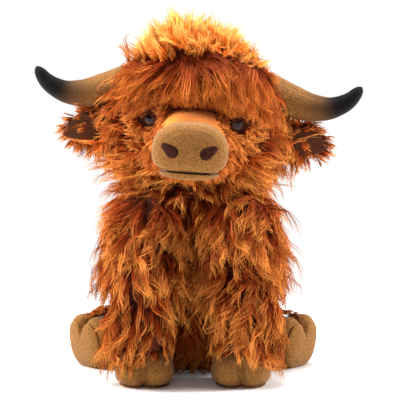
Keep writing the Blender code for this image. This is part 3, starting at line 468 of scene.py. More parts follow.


# Fur colour: dark at the root, a painted shade for the depths of the coat, then the coat's colour, then
# its pale tip, and each hair a little lighter or darker than the next. Where a piece scales its tone down,
# that tone also carries painted shade.
fur_group, given, result = new_group(
    "fur_colour",
    [("Root", (0.1, 0.02, 0.005)), ("Middle", (0.5, 0.12, 0.02)), ("Tip", (0.8, 0.3, 0.08))],
    [("Color", "Color")],
)
tone_and_painted_shade, share_value = bake_map(fur_group)
past_root = ranged(fur_group, share_value, 0.0, 0.42)
near_tip = ranged(fur_group, share_value, 0.45, 1.0)
body_mix = colour_mix(fur_group, past_root, given.outputs["Root"], given.outputs["Middle"])
tip_mix = colour_mix(fur_group, near_tip, body_mix, given.outputs["Tip"])
darker = colour_mix(fur_group, 1.0, tip_mix, (0.52, 0.42, 0.34, 1), "MULTIPLY")
lighter = colour_mix(fur_group, 1.0, tip_mix, (1.36, 1.46, 1.5, 1), "MULTIPLY")
toned = colour_mix(fur_group, ranged(fur_group, tone_and_painted_shade, 0.0, 1.0), darker, lighter)
fur_group.links.new(toned, result.inputs["Color"])


def new_material(name, roughness, specular=0.5):
    """A Principled material. Gives the material, its tree and its shader."""
    material = bpy.data.materials.new(name)
    material.use_nodes = True
    shader = material.node_tree.nodes["Principled BSDF"]
    shader.inputs["Roughness"].default_value = roughness
    shader.inputs["Specular IOR Level"].default_value = specular
    return material, material.node_tree, shader


def dress(tree, shader, colour, height=None, strength=0.5, depth=0.0005):
    """Feeds a colour to the shader and, where a height is given, a bump made of it."""
    tree.links.new(colour, shader.inputs["Base Color"])
    if height:
        bump = node(tree, "ShaderNodeBump", {"Strength": strength, "Distance": depth, "Height": height})
        tree.links.new(bump.outputs[0], shader.inputs["Normal"])


def fur_material(name, root, middle, tip):
    """Synthetic fur: a soft shine over colours that change from root to tip."""
    material, tree, shader = new_material(name, 0.62, 0.08)
    colours = placed(tree, fur_group, {"Root": root, "Middle": middle, "Tip": tip})
    dress(tree, shader, colours.outputs["Color"])
    return material


def backing_material(name, dark, light):
    """Knitted backing cloth: rows of loops from one wave, over blotches of a darker shade."""
    material, tree, shader = new_material(name, 0.95, 0.2)
    coords = node(tree, "ShaderNodeTexCoord")
    loops = {"Vector": coords.outputs["Object"], "Scale": 260.0, "Distortion": 1.2}
    rows = node(tree, "ShaderNodeTexWave", loops, bands_direction="Z")
    blotch = noise(tree, 90.0, 3.0)
    colour = colour_mix(tree, ranged(tree, blotch, 0.3, 0.7), (*dark, 1), (*light, 1))
    dress(tree, shader, colour, rows.outputs[0], 0.5, 0.0004)
    return material


RUST_FUR = fur_material("rust_fur_coat", (0.060, 0.008, 0.003), (0.42, 0.064, 0.008), (0.98, 0.380, 0.075))
BACKING = backing_material("fur_backing", (0.050, 0.010, 0.004), (0.110, 0.024, 0.008))

torso = upright(TORSO_ROWS)
torso_nodes = ("torso_skin", "torso_stuffing")
add_skin("torso_cloth", grid_of(torso, 64, 96), BACKING, "torso", "rust_fur", torso_nodes)


def sector(middle, half_span, lowest, highest):
    """One inside a span of bearings about the upright axis, measured from the front, and of heights."""

    def density(points, normals):
        """1 in the panel's wedge of bearings between its two heights, 1.6 over 108 mm, 0 elsewhere."""
        bearing = np.degrees(np.arctan2(points[..., 0], -(points[..., 1] - 5)))
        off = np.abs((bearing - middle + 180) % 360 - 180)
        z = points[..., 2]
        return (off < half_span) * (z > lowest) * (z < highest) * np.where(z > 108, 1.6, 1.0)

    return density


for name, middle, half_span, lowest, highest, count, stations, seed in TORSO_FUR:
    rng = np.random.default_rng(seed)
    root, normal = scatter(rng, torso, count, sector(middle, half_span, lowest, highest))
    x, y, z = root.T
    swirl = 0.75 * np.sin(z / 15.0 + x / 21.0 + middle) + 0.45 * np.sin(z / 7.5 - (x + y) / 12.0 + 2.0)
    level = unit(np.cross(normal, [0.0, 0.0, 1.0]))
    comb = np.array([0.0, 0.0, -1.0]) + level * (swirl + rng.normal(0, 0.35, count))[:, None]
    comb = comb - normal * np.einsum("ij,ij->i", comb, normal)[:, None]
    stray = (rng.uniform(0, 1, count) > 1 - STRAY_SHARE) * np.clip((z - 40) / 30, 0, 1)
    length = np.minimum(rng.uniform(27, 42, count) * (1 + 0.28 * stray), 4 + 0.92 * z)
    lift = rng.uniform(0.4, 1.0, count) + 0.30 * stray
    path, tone = locks(
        rng, root, normal, comb, length, lift=lift, droop=0.45, curl=5.8, turns=1.1, stations=stations
    )
    # Painted shade: the hair's tone is scaled down towards the floor, more so on the front panel, for the
    # shadow under the belly and between the legs.
    shade = np.clip(0.10 + z / (170 if name == "torso_fur_front" else 100), 0.10, 1)
    add_fur(name, path, tone * np.repeat(shade, HAIRS_A_LOCK), HAIR_RADIUS, RUST_FUR, "torso")


# Neck
# The stuffed ball that the head turns on, sewn into head and torso, in the same cloth.

NECK_CENTRE = np.array([0.0, 4.0, 156.0])
NECK_RADIUS = 41.5
NECK_LOCKS = 180


def ball(centre, radius):
    """A sphere: u is the turn round its upright axis and v the turn from its lowest to its highest point."""

    def surface(u, v):
        tilt = np.pi * (0.02 + 0.96 * v)
        level = radius * np.sin(tilt)
        x, y = level * np.cos(TAU * u), level * np.sin(TAU * u)
        return np.stack([x, y, -radius * np.cos(tilt)], axis=-1) + centre

    return surface


neck = ball(NECK_CENTRE, NECK_RADIUS)
add_skin("neck_cloth", grid_of(neck, 40, 72), BACKING, "neck", "rust_fur", ("neck_gusset",))


def collar(points, normals):
    """The band of the ball that the groove between head and torso leaves free."""
    return (np.abs(points[..., 2] - 152) < 17) * 1.0


rng = np.random.default_rng(29)
root, normal = scatter(rng, neck, NECK_LOCKS, collar)
comb = normal * 0.7 + np.array([0.0, 0.0, -0.8]) + rng.normal(0, 0.35, root.shape)
length = rng.uniform(20, 34, len(root))
path, tone = locks(rng, root, normal, comb, length, lift=0.6, droop=0.6, curl=4.6, stations=6)
add_fur("neck_fur", path, tone, HAIR_RADIUS, RUST_FUR, "neck")


# Head
# A stuffed ball of the same cloth. Short hair is combed away from the snout, long hair hangs from the
# cheeks and chin, and a mop of long golden-tipped hair stands on the crown. Under it, the hair that hangs
# over the brow is painted a darker shade.

HEAD_AXES = np.array(
    [[0.997185, -0.043538, -0.061049], [0.043619, 0.999048, 0.0], [0.06099, -0.002663, 0.998135]]
)
HEAD_ROWS = (
    (4.0, 20.0, 18.0, -6.0),
    (8.0, 36.0, 32.0, -5.6),
    (17.0, 50.0, 44.0, -5.0),
    (41.7, 60.0, 51.5, -5.6),
    (66.0, 58.0, 51.0, -7.0),
    (86.0, 46.0, 43.5, -8.6),
    (100.0, 32.0, 32.0, -9.0),
    (107.0, 22.0, 20.0, -9.0),
    (110.0, 10.0, 9.0, -9.0),
)
SNOUT = np.array([0.0, -76.0, 31.0])
EYES = np.array([[-35.0, -55.0, 50.0], [35.0, -55.0, 50.0]])


def from_head(points):
    """Points of the head's own frame, in the toy's."""
    return points @ HEAD_AXES + NECK_CENTRE


def head_way(vectors):
    """Directions turned from the head's own axes to the frame's."""
    return vectors @ HEAD_AXES


head = upright(HEAD_ROWS, 2.0)
head_nodes = ("head_skin", "head_stuffing", "forelock", "mane")
add_skin("head_cloth", from_head(grid_of(head, 64, 96)), BACKING, "head", "rust_fur", head_nodes)


def clear_of_face(path):
    """True for a hair that stays off the eyes, the muzzle and the bare band above it."""
    x, y, z = np.moveaxis(path, -1, 0)
    front = y < -50
    muzzle = front & ((np.abs(x) / 30.5) ** 2.6 + (np.abs(z - 29.5) / 22.5) ** 2.6 < 1)
    lip = (y < -72) & (np.abs(x) < 24) & (z > 5) & (z < 30)
    band = front & (np.abs(x) < 25 - 0.35 * (z - 40)) & (z > 40) & (z < 59)
    hit = muzzle | band | lip
    for eye in EYES:
        near = (np.hypot(x - eye[0] * 1.03, z - eye[2] + 0.8) < 5.6) & (y < -44)
        hit = hit | near
    return ~hit.any(axis=1)


def face_density(points, normals):
    """None where the snout is sewn on."""
    x, y, z = np.moveaxis(points, -1, 0)
    snout = (y < -20) & ((np.abs(x) / 27) ** 2.4 + (np.abs(z - 31) / 23) ** 2.4 < 1)
    return np.where(snout, 0.0, 1.0)


def keep_outside(path, margin):
    """Pushes points out of the head, to a margin beyond an egg of its size about its middle."""
    middle = np.array([0.0, -7.0, 58.0])
    size = np.array([60.0, 51.5, 56.0])
    share = np.linalg.norm((path - middle) / (size + margin[:, None, None]), axis=-1, keepdims=True)
    return middle + (path - middle) / np.minimum(share, 1.0)


HEAD_FUR = (
    # name, region, locks, hairs a lock, points a hair, shortest, longest, seed
    ("crown_fur_front", "crown_front", 260, 16, 6, 34, 50, 31),
    ("forelock_fur", "forelock", 320, 12, 7, 36, 56, 39),
    ("crown_fur_back", "crown_back", 240, 15, 6, 30, 44, 32),
    ("brow_fur", "brow", 210, 10, 6, 18, 32, 33),
    ("face_fur", "face", 520, 7, 4, 8, 13, 37),
    ("cheek_fur_left", "cheek_left", 350, 10, 7, 28, 46, 34),
    ("cheek_fur_right", "cheek_right", 350, 10, 7, 28, 46, 35),
    ("chin_fur", "chin", 190, 10, 6, 28, 44, 40),
    ("nape_fur", "nape", 340, 9, 6, 30, 46, 36),
)
PARTING = 97.0
HEAD_FLOOR = -40.0
CROWN_FUR = fur_material("crown_fur_coat", (0.32, 0.058, 0.007), (0.93, 0.285, 0.034), (1.0, 0.56, 0.150))
BACK_FUR = fur_material("crown_back_fur_coat", (0.14, 0.022, 0.004), (0.62, 0.145, 0.015), (1.0, 0.45, 0.095))
# Painted shade: a darker, redder copy of the face's fur for the hair that hangs over the brow under the
# crown's tuft.
BROW_FUR_PAINTED_SHADE = fur_material("brow_fur_painted_shade", (0.055, 0.008, 0.003), (0.33, 0.047, 0.006), (0.76, 0.220, 0.036))
FACE_FUR = fur_material("face_fur_coat", (0.080, 0.011, 0.003), (0.48, 0.080, 0.010), (0.98, 0.390, 0.078))
HEAD_COATS = {"crown_front": CROWN_FUR, "crown_back": BACK_FUR, "forelock": BROW_FUR_PAINTED_SHADE, "brow": BROW_FUR_PAINTED_SHADE}


def near_eye(points):
    """How far a point lies from the nearer eye, seen from the front."""
    x, z = points[..., 0], points[..., 2]
    return np.hypot(np.abs(x) - EYES[1][0], z - EYES[1][2])


def parted(points):
    """One where hair hangs, under the parting's wavy line, and none over it, where hair stands up."""
    wave = 2.6 * np.sin(points[..., 0] / 5.5) + 1.8 * np.sin(points[..., 0] / 2.3 + 1)
    return 1 / (1 + np.exp((points[..., 2] - PARTING + wave + 0.35 * (points[..., 1] + 44)) / 2.5))


def head_density(region):
    """The share of roots that a region of the head takes at each place."""

    def density(points, normals):
        """How densely this region of the head is planted, 0 outside it."""
        x, y, z = np.moveaxis(points, -1, 0)
        crown = z > 86 - 0.10 * y
        around_eye = (near_eye(points) < 18) & (y < -20)
        face = ((y < -30) & (z > 26) & (z < 66) & (np.abs(x) < 48)) | around_eye
        if region == "crown_front":
            inside = crown & (y < -4) & (parted(points) < 0.8)
        elif region == "forelock":
            inside = crown & (y < -4) & (parted(points) >= 0.15)
        elif region == "chin":
            inside = (z < 24) & (y < -4) & (np.abs(x) < 40)
        elif region == "crown_back":
            inside = crown & (y >= -4)
        elif region == "brow":
            inside = ~crown & (y < -24) & (z > 62)
        elif region == "face":
            inside = face & ~crown
        elif region == "cheek_left":
            inside = ~crown & ~face & (x > 0) & (y < 12) & ~((y < -24) & (z > 62))
        elif region == "cheek_right":
            inside = ~crown & ~face & (x <= 0) & (y < 12) & ~((y < -24) & (z > 62))
        else:
            inside = ~crown & (y >= 12)
        near = 1 + 1.6 * ((near_eye(points) < 13) & (y < -20)) if region == "face" else 1 + 1.0 * (z > 103)
        return inside * near * face_density(points, normals)

    return density


for name, region, count, hairs, stations, shortest, longest, seed in HEAD_FUR:
    rng = np.random.default_rng(seed)
    root, normal = scatter(rng, head, count, head_density(region))
    x, y, z = root.T
    level = unit(np.cross(normal, [0.0, 0.0, 1.0]))
    down = np.array([0.0, 0.0, -1.0])
    swirl = 0.6 * np.sin(z / 9.0 + x / 12.0) + 0.4 * np.sin(x / 6.0 - y / 9.0)
    length = rng.uniform(shortest, longest, count)
    wander = rng.normal(0, 0.30, (count, 3))
    curl, spread, gathers = 4.8, 2.8, (0.10, 0.70)
    if region.startswith("crown") or region == "forelock":
        # Over the parting the hair stands up and out in a fan. Under it, it hangs over the brow and sides.
        hangs = np.full(count, float(region == "forelock"))
        curl, spread, gathers = 2.8 + 3.0 * hangs, 4.4 - 1.4 * hangs, (-0.1, 0.55)
        over = np.where(z > 101, 1.5, 0.8)[:, None]
        back = np.clip((y + 2) / 26, 0, 1)
        fan = np.stack([(x + 3) / 52 - 0.16, (y + 8) / 42, 1.15 - 0.5 * back], axis=1)
        fan = unit(fan) + wander * over
        aside = np.sign(x)[:, None] * np.clip(np.abs(x) / 34, 0, 1)[:, None] * [0.5, 0, 0]
        fall = down + aside + [0, -0.25, 0] + level * swirl[:, None] * 0.9 + wander
        comb = fan * (1 - hangs)[:, None] + fall * hangs[:, None]
        lift = 0.45 * (1 - hangs) + (1.0 - 0.5 * np.clip(np.abs(x) / 36, 0, 1)) * hangs
        droop = (0.35 + 0.75 * back) * (1 - hangs) + 0.9 * hangs
        over_horn = 1 - 0.35 * np.clip((np.abs(x) - 30) / 12, 0, 1)
        tall = np.where(rng.uniform(0, 1, count) > 0.92, 1.2, 1.0)
        tuft = (0.50 + 0.16 * np.exp(-(((x + 14) / 16) ** 2))) * tall
        tuft = tuft * (1 - 0.22 * np.clip(x / 26, 0, 1)) * (1 + 0.45 * back)
        length = length * np.where(hangs > 0.5, over_horn, tuft)
    elif region == "brow":
        comb = down + x[:, None] / 40 * [1, 0, 0] + level * swirl[:, None] * 0.6 + wander
        lift, droop = 0.75, 0.5
    elif region == "face":
        eye = EYES[(x > 0).astype(int)]
        beside = np.clip((15 - near_eye(root)) / 5, 0, 1)[:, None]
        away = unit((root - SNOUT) * [1, 0.2, 1]) * (1 - beside) + unit((root - eye) * [1, 0, 1]) * beside
        comb = away * 0.8 + down * 0.15 + wander
        lift, droop = 1.1 + 0.3 * beside[:, 0], 0.2
        curl, spread = 1.4, 2.2
    elif region == "chin":
        comb = down + [0, -0.35, 0] + np.stack([x / 40, 0 * x, 0 * x], axis=1) + wander
        lift, droop = 0.30, 0.8
    elif region.startswith("cheek"):
        away = unit((root - SNOUT) * [1, 0.4, 1])
        comb = away * 1.1 + down * 0.55 + level * swirl[:, None] * 0.5 + wander
        stray = (rng.uniform(0, 1, count) > 0.88) * (np.abs(x) < 56) * (y > -20)
        lift, droop = rng.uniform(0.5, 1.05, count) + 0.3 * stray, 0.75 - 0.15 * stray
        length = length * (1 + 0.22 * stray)
    else:
        comb = down + level * swirl[:, None] * 0.6 + wander
        lift, droop = 0.9 - 0.5 * (z < 40), 0.45
        length = length * (1 + 0.35 * np.clip((40 - z) / 25, 0, 1))
    if not region.startswith("crown") and region != "forelock":
        comb = comb - normal * np.einsum("ij,ij->i", comb, normal)[:, None]
    if region.startswith("cheek"):
        near = np.linalg.norm((root - SNOUT) * [1, 0.3, 1], axis=1)
        length = length * np.clip((near - 14) / 44, 0.40, 1) * (1 + 0.3 * (z < 30) * (y > -20))
    path, tone = locks(
        rng, root, normal, comb, length, lift=lift, droop=droop, curl=curl, spread=spread, hairs=hairs,
        floor=HEAD_FLOOR, gathers=gathers, stations=stations,
    )
    path = keep_outside(path, rng.uniform(0.5, 6, len(path)))
    x, y, z = np.moveaxis(path, -1, 0)
    low = np.where((np.abs(x) < 30) & (y < -35), z, 999).min(axis=1)
    start = path[:, 0, 2]
    ragged = 3.5 * np.sin(root[:, 0] / 4.2) + rng.uniform(-3.0, 7.0, count)
    cut = 60.0 + np.repeat(np.maximum(ragged, -2.5), hairs)
    fits = np.where(start > 65, np.clip((start - cut) / np.maximum(start - low, 1e-6), 0.15, 1), 1)
    path = path[:, :1] + (path - path[:, :1]) * fits[:, None, None]
    good = clear_of_face(path)
    path, tone = from_head(path[good]), tone[good]
    gold = region.startswith("crown")
    coat = HEAD_COATS.get(region, FACE_FUR)
    add_fur(name, path, tone, 0.22 if gold else 0.26, coat, "head", "golden_fur" if gold else "rust_fur")


# Snout
# A sleeve of smooth short pile sewn into the face, then the velour muzzle in two panels: a big rounded
# upper one and a narrow lip, with the mouth stitched between them.

SLEEVE_ROWS = (
    (40.0, 33.0, 27.5, 35.7),
    (52.0, 31.8, 26.8, 34.8),
    (62.0, 30.4, 25.2, 33.2),
    (70.0, 29.2, 23.8, 31.4),
    (75.6, 27.6, 21.9, 30.4),
)
MUZZLE_ROWS = (
    (72.0, 26.6, 20.0, 15.0, 30.2),
    (75.0, 28.4, 21.6, 16.1, 30.1),
    (79.0, 29.3, 22.3, 16.5, 29.9),
    (85.0, 29.6, 22.4, 16.5, 29.7),
    (90.0, 28.8, 21.8, 16.3, 29.5),
    (94.0, 26.4, 19.9, 15.2, 29.3),
    (97.0, 21.4, 16.0, 12.2, 29.2),
    (98.6, 14.0, 10.4, 8.0, 29.2),
    (99.1, 6.0, 4.5, 3.5, 29.2),
)
LIP_ROWS = (
    (70.0, 20.0, 0.9, 3.6, 13.0),
    (76.0, 22.6, 0.5, 5.2, 12.9),
    (84.0, 23.4, 0.3, 5.6, 12.9),
    (90.0, 21.6, 0.3, 5.2, 12.9),
    (94.0, 17.0, 0.3, 4.2, 12.9),
    (96.4, 9.0, 0.3, 2.6, 12.9),
    (97.0, 3.0, 0.3, 1.0, 12.9),
)


def snout_form(table, square, square_down=None, narrow=0.0):
    """Upright superellipses set along -Y, through rows of reach, half width, half heights and height. Their
    width falls off above the middle with the square of the height, by the share in narrow."""

    def surface(u, v):
        rows = np.moveaxis(through(table, v), -1, 0)
        reach, wide, tall, z = rows[0], rows[1], rows[2], rows[-1]
        low = rows[3] if len(rows) == 5 else tall
        across, up = ring(u, wide, tall, square, low)
        across = across * (1 - narrow * np.clip(up / tall, 0, 1) ** 2)
        if square_down:
            below = ring(u, wide, tall, square_down, low)
            mask = np.sin(TAU * u) < 0
            across, up = np.where(mask, below[0], across), np.where(mask, below[1], up)
        return np.stack([across, -reach, z + up], axis=-1)

    return surface


# Velour nap: brushed patches of a dark and a light shade, with the single piles as a finer grain.
velour_group, given, result = new_group(
    "velour_nap",
    [("Dark", (0.3, 0.2, 0.1)), ("Light", (0.6, 0.4, 0.2))],
    [("Color", "Color"), ("Height", "Float")],
)
brushed = noise(velour_group, 760.0, 3.0, 0.62)
pile = noise(velour_group, 1500.0)
patches = ranged(velour_group, brushed, 0.30, 0.72)
grain = ranged(velour_group, pile, 0.35, 0.65, 0.0, 0.30)
shade = colour_mix(velour_group, patches, given.outputs["Dark"], given.outputs["Light"])
fine = colour_mix(velour_group, grain, shade, given.outputs["Dark"])
height = node(velour_group, "ShaderNodeMath", {0: brushed, 1: pile}, operation="ADD")
velour_group.links.new(fine, result.inputs["Color"])
velour_group.links.new(height.outputs[0], result.inputs["Height"])


def velour_material(name, dark, light):
    """Short brushed velour: a nap that catches the light in patches, with a soft sheen."""
    material, tree, shader = new_material(name, 0.92, 0.15)
    shader.inputs["Sheen Weight"].default_value = 0.12
    shader.inputs["Sheen Roughness"].default_value = 0.5
    nap = placed(tree, velour_group, {"Dark": dark, "Light": light})
    dress(tree, shader, nap.outputs["Color"], nap.outputs["Height"], 0.45)
    return material


TAN_VELOUR = velour_material("tan_velour_nap", (0.170, 0.071, 0.015), (0.370, 0.166, 0.039))
SHORT_PILE = velour_material("short_orange_pile", (0.74, 0.190, 0.022), (0.98, 0.330, 0.050))

sleeve_surface = snout_form(SLEEVE_ROWS, 2.5, None, 0.13)
sleeve_grid = from_head(grid_of(sleeve_surface, 32, 96))
add_skin("sleeve_pile", sleeve_grid, SHORT_PILE, "head", "short_pile", ("snout_sleeve",))


def beside_the_band(points, normals):
    """The sleeve's sides, its lower half and the corners of its top, from the face to the muzzle's rim."""
    x, y, z = np.moveaxis(points, -1, 0)
    top = (z > 46) & (np.abs(x) < 20.0 - 0.25 * (z - 46))
    return (y > -73) * (y < -44) * ~top * 1.0


SNOUT_FUR = fur_material("snout_fur_coat", (0.34, 0.080, 0.014), (0.62, 0.165, 0.024), (0.78, 0.26, 0.050))
rng = np.random.default_rng(38)
root, normal = scatter(rng, sleeve_surface, 370, beside_the_band)
back = np.clip((root[:, 1] + 73) / 26, 0, 1)
comb = normal * 0.35 + np.array([0, 0.85, -0.30]) + rng.normal(0, 0.22, root.shape)
length = 6.5 + 13 * back + rng.uniform(-1, 3, len(root))
path, tone = locks(
    rng, root, normal, comb, length, lift=0.35 + 0.55 * back, droop=0.45, curl=1.8, spread=2.2,
    hairs=8, stations=5,
)
x, y, z = np.moveaxis(path, -1, 0)
on_band = (z > 47) & (np.abs(x) < 19.0 - 0.25 * (z - 46)) & (y < -48)
on_eye = np.stack([np.hypot(x - eye[0] * 1.02, z - eye[2]) < 6.4 for eye in EYES]).any(axis=0)
good = ~(on_band | on_eye).any(axis=1)
add_fur("snout_fur", from_head(path[good]), tone[good], 0.25, SNOUT_FUR, "head")

muzzle_surface = snout_form(MUZZLE_ROWS, 2.6, 3.2, 0.13)
muzzle_points = grid_of(muzzle_surface, 60, 128)
x, y, z = np.moveaxis(muzzle_points, -1, 0)
front = 1 / (1 + np.exp((y + 90) / 1.5))
pucker = np.exp(-(((x + 14.5) / 1.5) ** 2)) + 0.7 * np.exp(-(((x - 14) / 1.4) ** 2))
muzzle_points[..., 1] += front * 0.9 * pucker * np.exp(-(((z - 19.5) / 5.0) ** 2))
lip_points = grid_of(snout_form(LIP_ROWS, 2.2, 2.2), 40, 96)
for part, points in (("muzzle_upper", muzzle_points), ("muzzle_lower", lip_points)):
    add_skin(f"{part}_panel", from_head(points), TAN_VELOUR, "head", "tan_velour", (part,))


# Nostrils and mouth stitches
# Two teardrops of dark brown satin stitch on the front of the muzzle, and a row of short dark stitches
# that gathers the lip to the upper panel.

NOSTRIL_X = 13.4
NOSTRIL_Z = 29.6
NOSTRIL_SIZE = 5.2
NOSTRIL_POINT = 0.82
NOSTRIL_ANGLE = np.radians(34)
NOSTRIL_THREADS = 26
THREAD_RADIUS = 0.30
THREAD_POINTS = 9
STITCHES = 17
STITCH_HALF = 0.78
STITCH_RADIUS = 0.62
MOUTH_HALF = 20.5
MOUTH_Z = 13.35


def thread_material(name, colour, light):
    """Twisted embroidery thread with a silky shine."""
    material, tree, shader = new_material(name, 0.60, 0.12)
    twist = ranged(tree, noise(tree, 900.0), 0.35, 0.65)
    dress(tree, shader, colour_mix(tree, twist, (*colour, 1), (*light, 1)))
    return material


EMBROIDERY = thread_material("brown_embroidery", (0.030, 0.006, 0.004), (0.070, 0.016, 0.010))


def muzzle_front(x, z):
    """How far forward the muzzle's front stands: its rows' reach where the superellipse passes the point."""
    share = np.linspace(0, 1, 400)
    rows = through(MUZZLE_ROWS, share)
    reach, wide, tall, low, middle = rows.T
    up = z[..., None] - middle
    size = (np.abs(x[..., None]) / wide) ** 2.6 + (np.abs(up) / np.where(up < 0, low, tall)) ** 2.6
    return np.where(size <= 1, reach, 0).max(axis=-1)


def add_threads(name, path, radius, material, stands_for=()):
    """Embroidery on the head: threads of one thickness, each a tube of six sides along its path, closed at
    both ends."""
    count, stations = path.shape[:2]
    along = unit(np.gradient(path, axis=1))
    side = unit(np.cross(along, [0.21, 0.93, 0.30]))
    other = np.cross(along, side)
    s = np.linspace(-1, 1, stations)
    thick = (radius * np.sqrt(np.clip(1 - s**6 * 0.9, 0.1, 1)))[None, :, None, None]
    corner = TAU * np.arange(6) / 6
    rings = path[:, :, None] + side[:, :, None] * np.cos(corner)[:, None] * thick
    rings = rings + other[:, :, None] * np.sin(corner)[:, None] * thick
    per = 6 * stations
    points = rings.reshape(-1, 3)
    base = (np.arange(count) * per)[:, None]
    row, edge = np.meshgrid(np.arange(stations - 1), np.arange(6), indexing="ij")
    a = (6 * row + edge).ravel()
    b = (6 * row + (edge + 1) % 6).ravel()
    quads = np.stack([base + a, base + b, base + b + 6, base + a + 6], axis=-1).reshape(-1, 4)
    cap = np.array([[0, 3, 2, 1], [0, 5, 4, 3]])
    end = np.array([[0, 1, 2, 3], [0, 3, 4, 5]]) + per - 6
    caps = (base[..., None] + np.concatenate([cap, end])).reshape(-1, 4)
    which = np.repeat(np.linspace(0.05, 0.95, count), per)
    share = np.tile(np.repeat(np.linspace(0.02, 0.98, stations), 6), count)
    width = np.tile(np.array([-1, -0.6, 0.2, 1, 0.6, -0.2]) * 0.006, count * stations)
    mesh = mesh_of(name, points, [quads, caps], np.stack([which + width, share], axis=1), material)
    add_piece(name, mesh, "head", "embroidery", stands_for)


for word, side in (("left", 1), ("right", -1)):
    height = np.linspace(-0.97, 0.97, NOSTRIL_THREADS)
    turn = np.linspace(0, TAU, 361)
    edge = NOSTRIL_SIZE * (1 + NOSTRIL_POINT * ((1 + np.cos(turn - NOSTRIL_ANGLE)) / 2) ** 14)
    outline = np.stack([side * edge * np.cos(turn), edge * np.sin(turn)], axis=1)
    slant = np.array([np.cos(NOSTRIL_ANGLE) * side, np.sin(NOSTRIL_ANGLE)])
    across = np.array([-slant[1], slant[0]])
    reach, wide = outline @ slant, outline @ across
    steps = reach.min() + (reach.max() - reach.min()) * (height + 1) / 2
    spans = []
    for step in steps:
        near = np.abs(reach - step) < 0.35
        spans.append((wide[near].min(), wide[near].max()))
    spans = np.array(spans)
    s = np.linspace(0, 1, THREAD_POINTS)
    over = spans[:, :1] + (spans[:, 1:] - spans[:, :1]) * s
    flat = steps[:, None, None] * slant + over[..., None] * across
    px, pz = NOSTRIL_X * side + flat[..., 0], NOSTRIL_Z + flat[..., 1]
    bulge = 0.9 * np.sin(np.pi * s) ** 0.5 - 0.25
    py = -(muzzle_front(px, pz) + bulge)
    path = from_head(np.stack([px, py, pz], axis=-1))
    add_threads(f"nostril_thread_{word}", path, THREAD_RADIUS, EMBROIDERY, (f"nostril_{word}",))

middle = np.linspace(-MOUTH_HALF, MOUTH_HALF, STITCHES)
s = np.linspace(-1, 1, THREAD_POINTS)
px = middle[:, None] + s * STITCH_HALF
pz = np.full_like(px, MOUTH_Z)
py = -(muzzle_front(px, np.full_like(px, 14.6)) + 0.35 + 0.45 * (1 - s**2))
add_threads("mouth_stitches", from_head(np.stack([px, py, pz], axis=-1)), STITCH_RADIUS, EMBROIDERY)


# Eyes
# Domed plastic safety eyes pressed through the cloth: dark brown, black in the middle, glossy. The stem
# and the washer behind it hold them.

EYE_OUTLINE = (
    (0.00, 2.00),
    (0.12, 1.985),
    (0.30, 1.89),
    (0.50, 1.68),
    (0.70, 1.24),
    (0.86, 0.58),
    (0.96, -0.42),
    (1.00, -1.60),
    (0.99, -2.6),
    (0.90, -3.0),
    (0.32, -3.05),
    (0.31, -12.0),
    (0.0, -12.1),
)
EYE_RADIUS = 6.4
EYE_STEM = 9.0


def eye_material():
    """Dark brown plastic, black in the middle and at the rim, under a clear glossy face."""
    material, tree, shader = new_material("eye_gloss", 0.05, 0.11)
    shader.inputs["Coat Weight"].default_value = 0.03
    shader.inputs["Coat Roughness"].default_value = 0.03
    share = bake_map(tree)[1]
    off_pupil = ranged(tree, share, 0.20, 0.30)
    inner = colour_mix(tree, off_pupil, (0.003, 0.002, 0.002, 1), (0.045, 0.014, 0.005, 1))
    dress(tree, shader, colour_mix(tree, ranged(tree, share, 0.42, 0.52), inner, (0.008, 0.004, 0.003, 1)))
    return material


EYE_GLOSS = eye_material()
WASHER, tree, shader = new_material("washer_plastic_white", 0.45)
dress(tree, shader, colour_mix(tree, noise(tree, 300.0), (0.72, 0.72, 0.70, 1), (0.85, 0.85, 0.83, 1)))


def turned(outline, radius, centre, axis):
    """An outline of radius share and height turned round an axis: at u it stands along the axis by its
    height and out by its radius times cos and sin of the turn."""
    axis = unit(np.asarray(axis, float))
    first = unit(np.cross(axis, [0.0, 0.0, 1.0]))
    second = np.cross(axis, first)

    def surface(u, v):
        spots = np.arange(len(outline))
        row = v * (len(outline) - 1)
        out = np.interp(row, spots, [r for r, _ in outline]) * radius
        along = np.interp(row, spots, [h for _, h in outline])
        level = first * (out * np.cos(TAU * u))[..., None] + second * (out * np.sin(TAU * u))[..., None]
        return centre + level + axis * along[..., None]

    return surface


for word in ("left", "right"):
    lo, hi = (np.array(corner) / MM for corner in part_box(f"eye_{word}"))
    washer_lo, washer_hi = (np.array(corner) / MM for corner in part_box(f"eye_washer_{word}"))
    back = (washer_lo + washer_hi) / 2
    outward = unit((lo + hi) / 2 - back)
    dome = turned(EYE_OUTLINE, EYE_RADIUS, back + outward * EYE_STEM, outward)
    add_skin(f"eye_dome_{word}", grid_of(dome, 49, 64), EYE_GLOSS, "head", "eye_plastic", (f"eye_{word}",))
    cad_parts[f"eye_washer_{word}"].data.materials[0] = WASHER


# Horns
# Stuffed velour cones, sewn shut along their back, sagging out of the hair and then rising to blunt
# tips. They are tan at the head and airbrushed black at the tip.

HORN_ROWS = (
    (0.00, 34.0, 0.0, 76.0, 15.0),
    (0.20, 53.6, -0.2, 74.7, 14.85),
    (0.41, 74.2, -1.4, 67.9, 13.5),
    (0.61, 93.8, -3.8, 63.3, 11.1),
    (0.79, 111.4, -6.1, 65.1, 8.4),
    (0.92, 124.2, -7.8, 73.0, 6.15),
    (1.00, 132.0, -9.0, 83.0, 3.6),
)


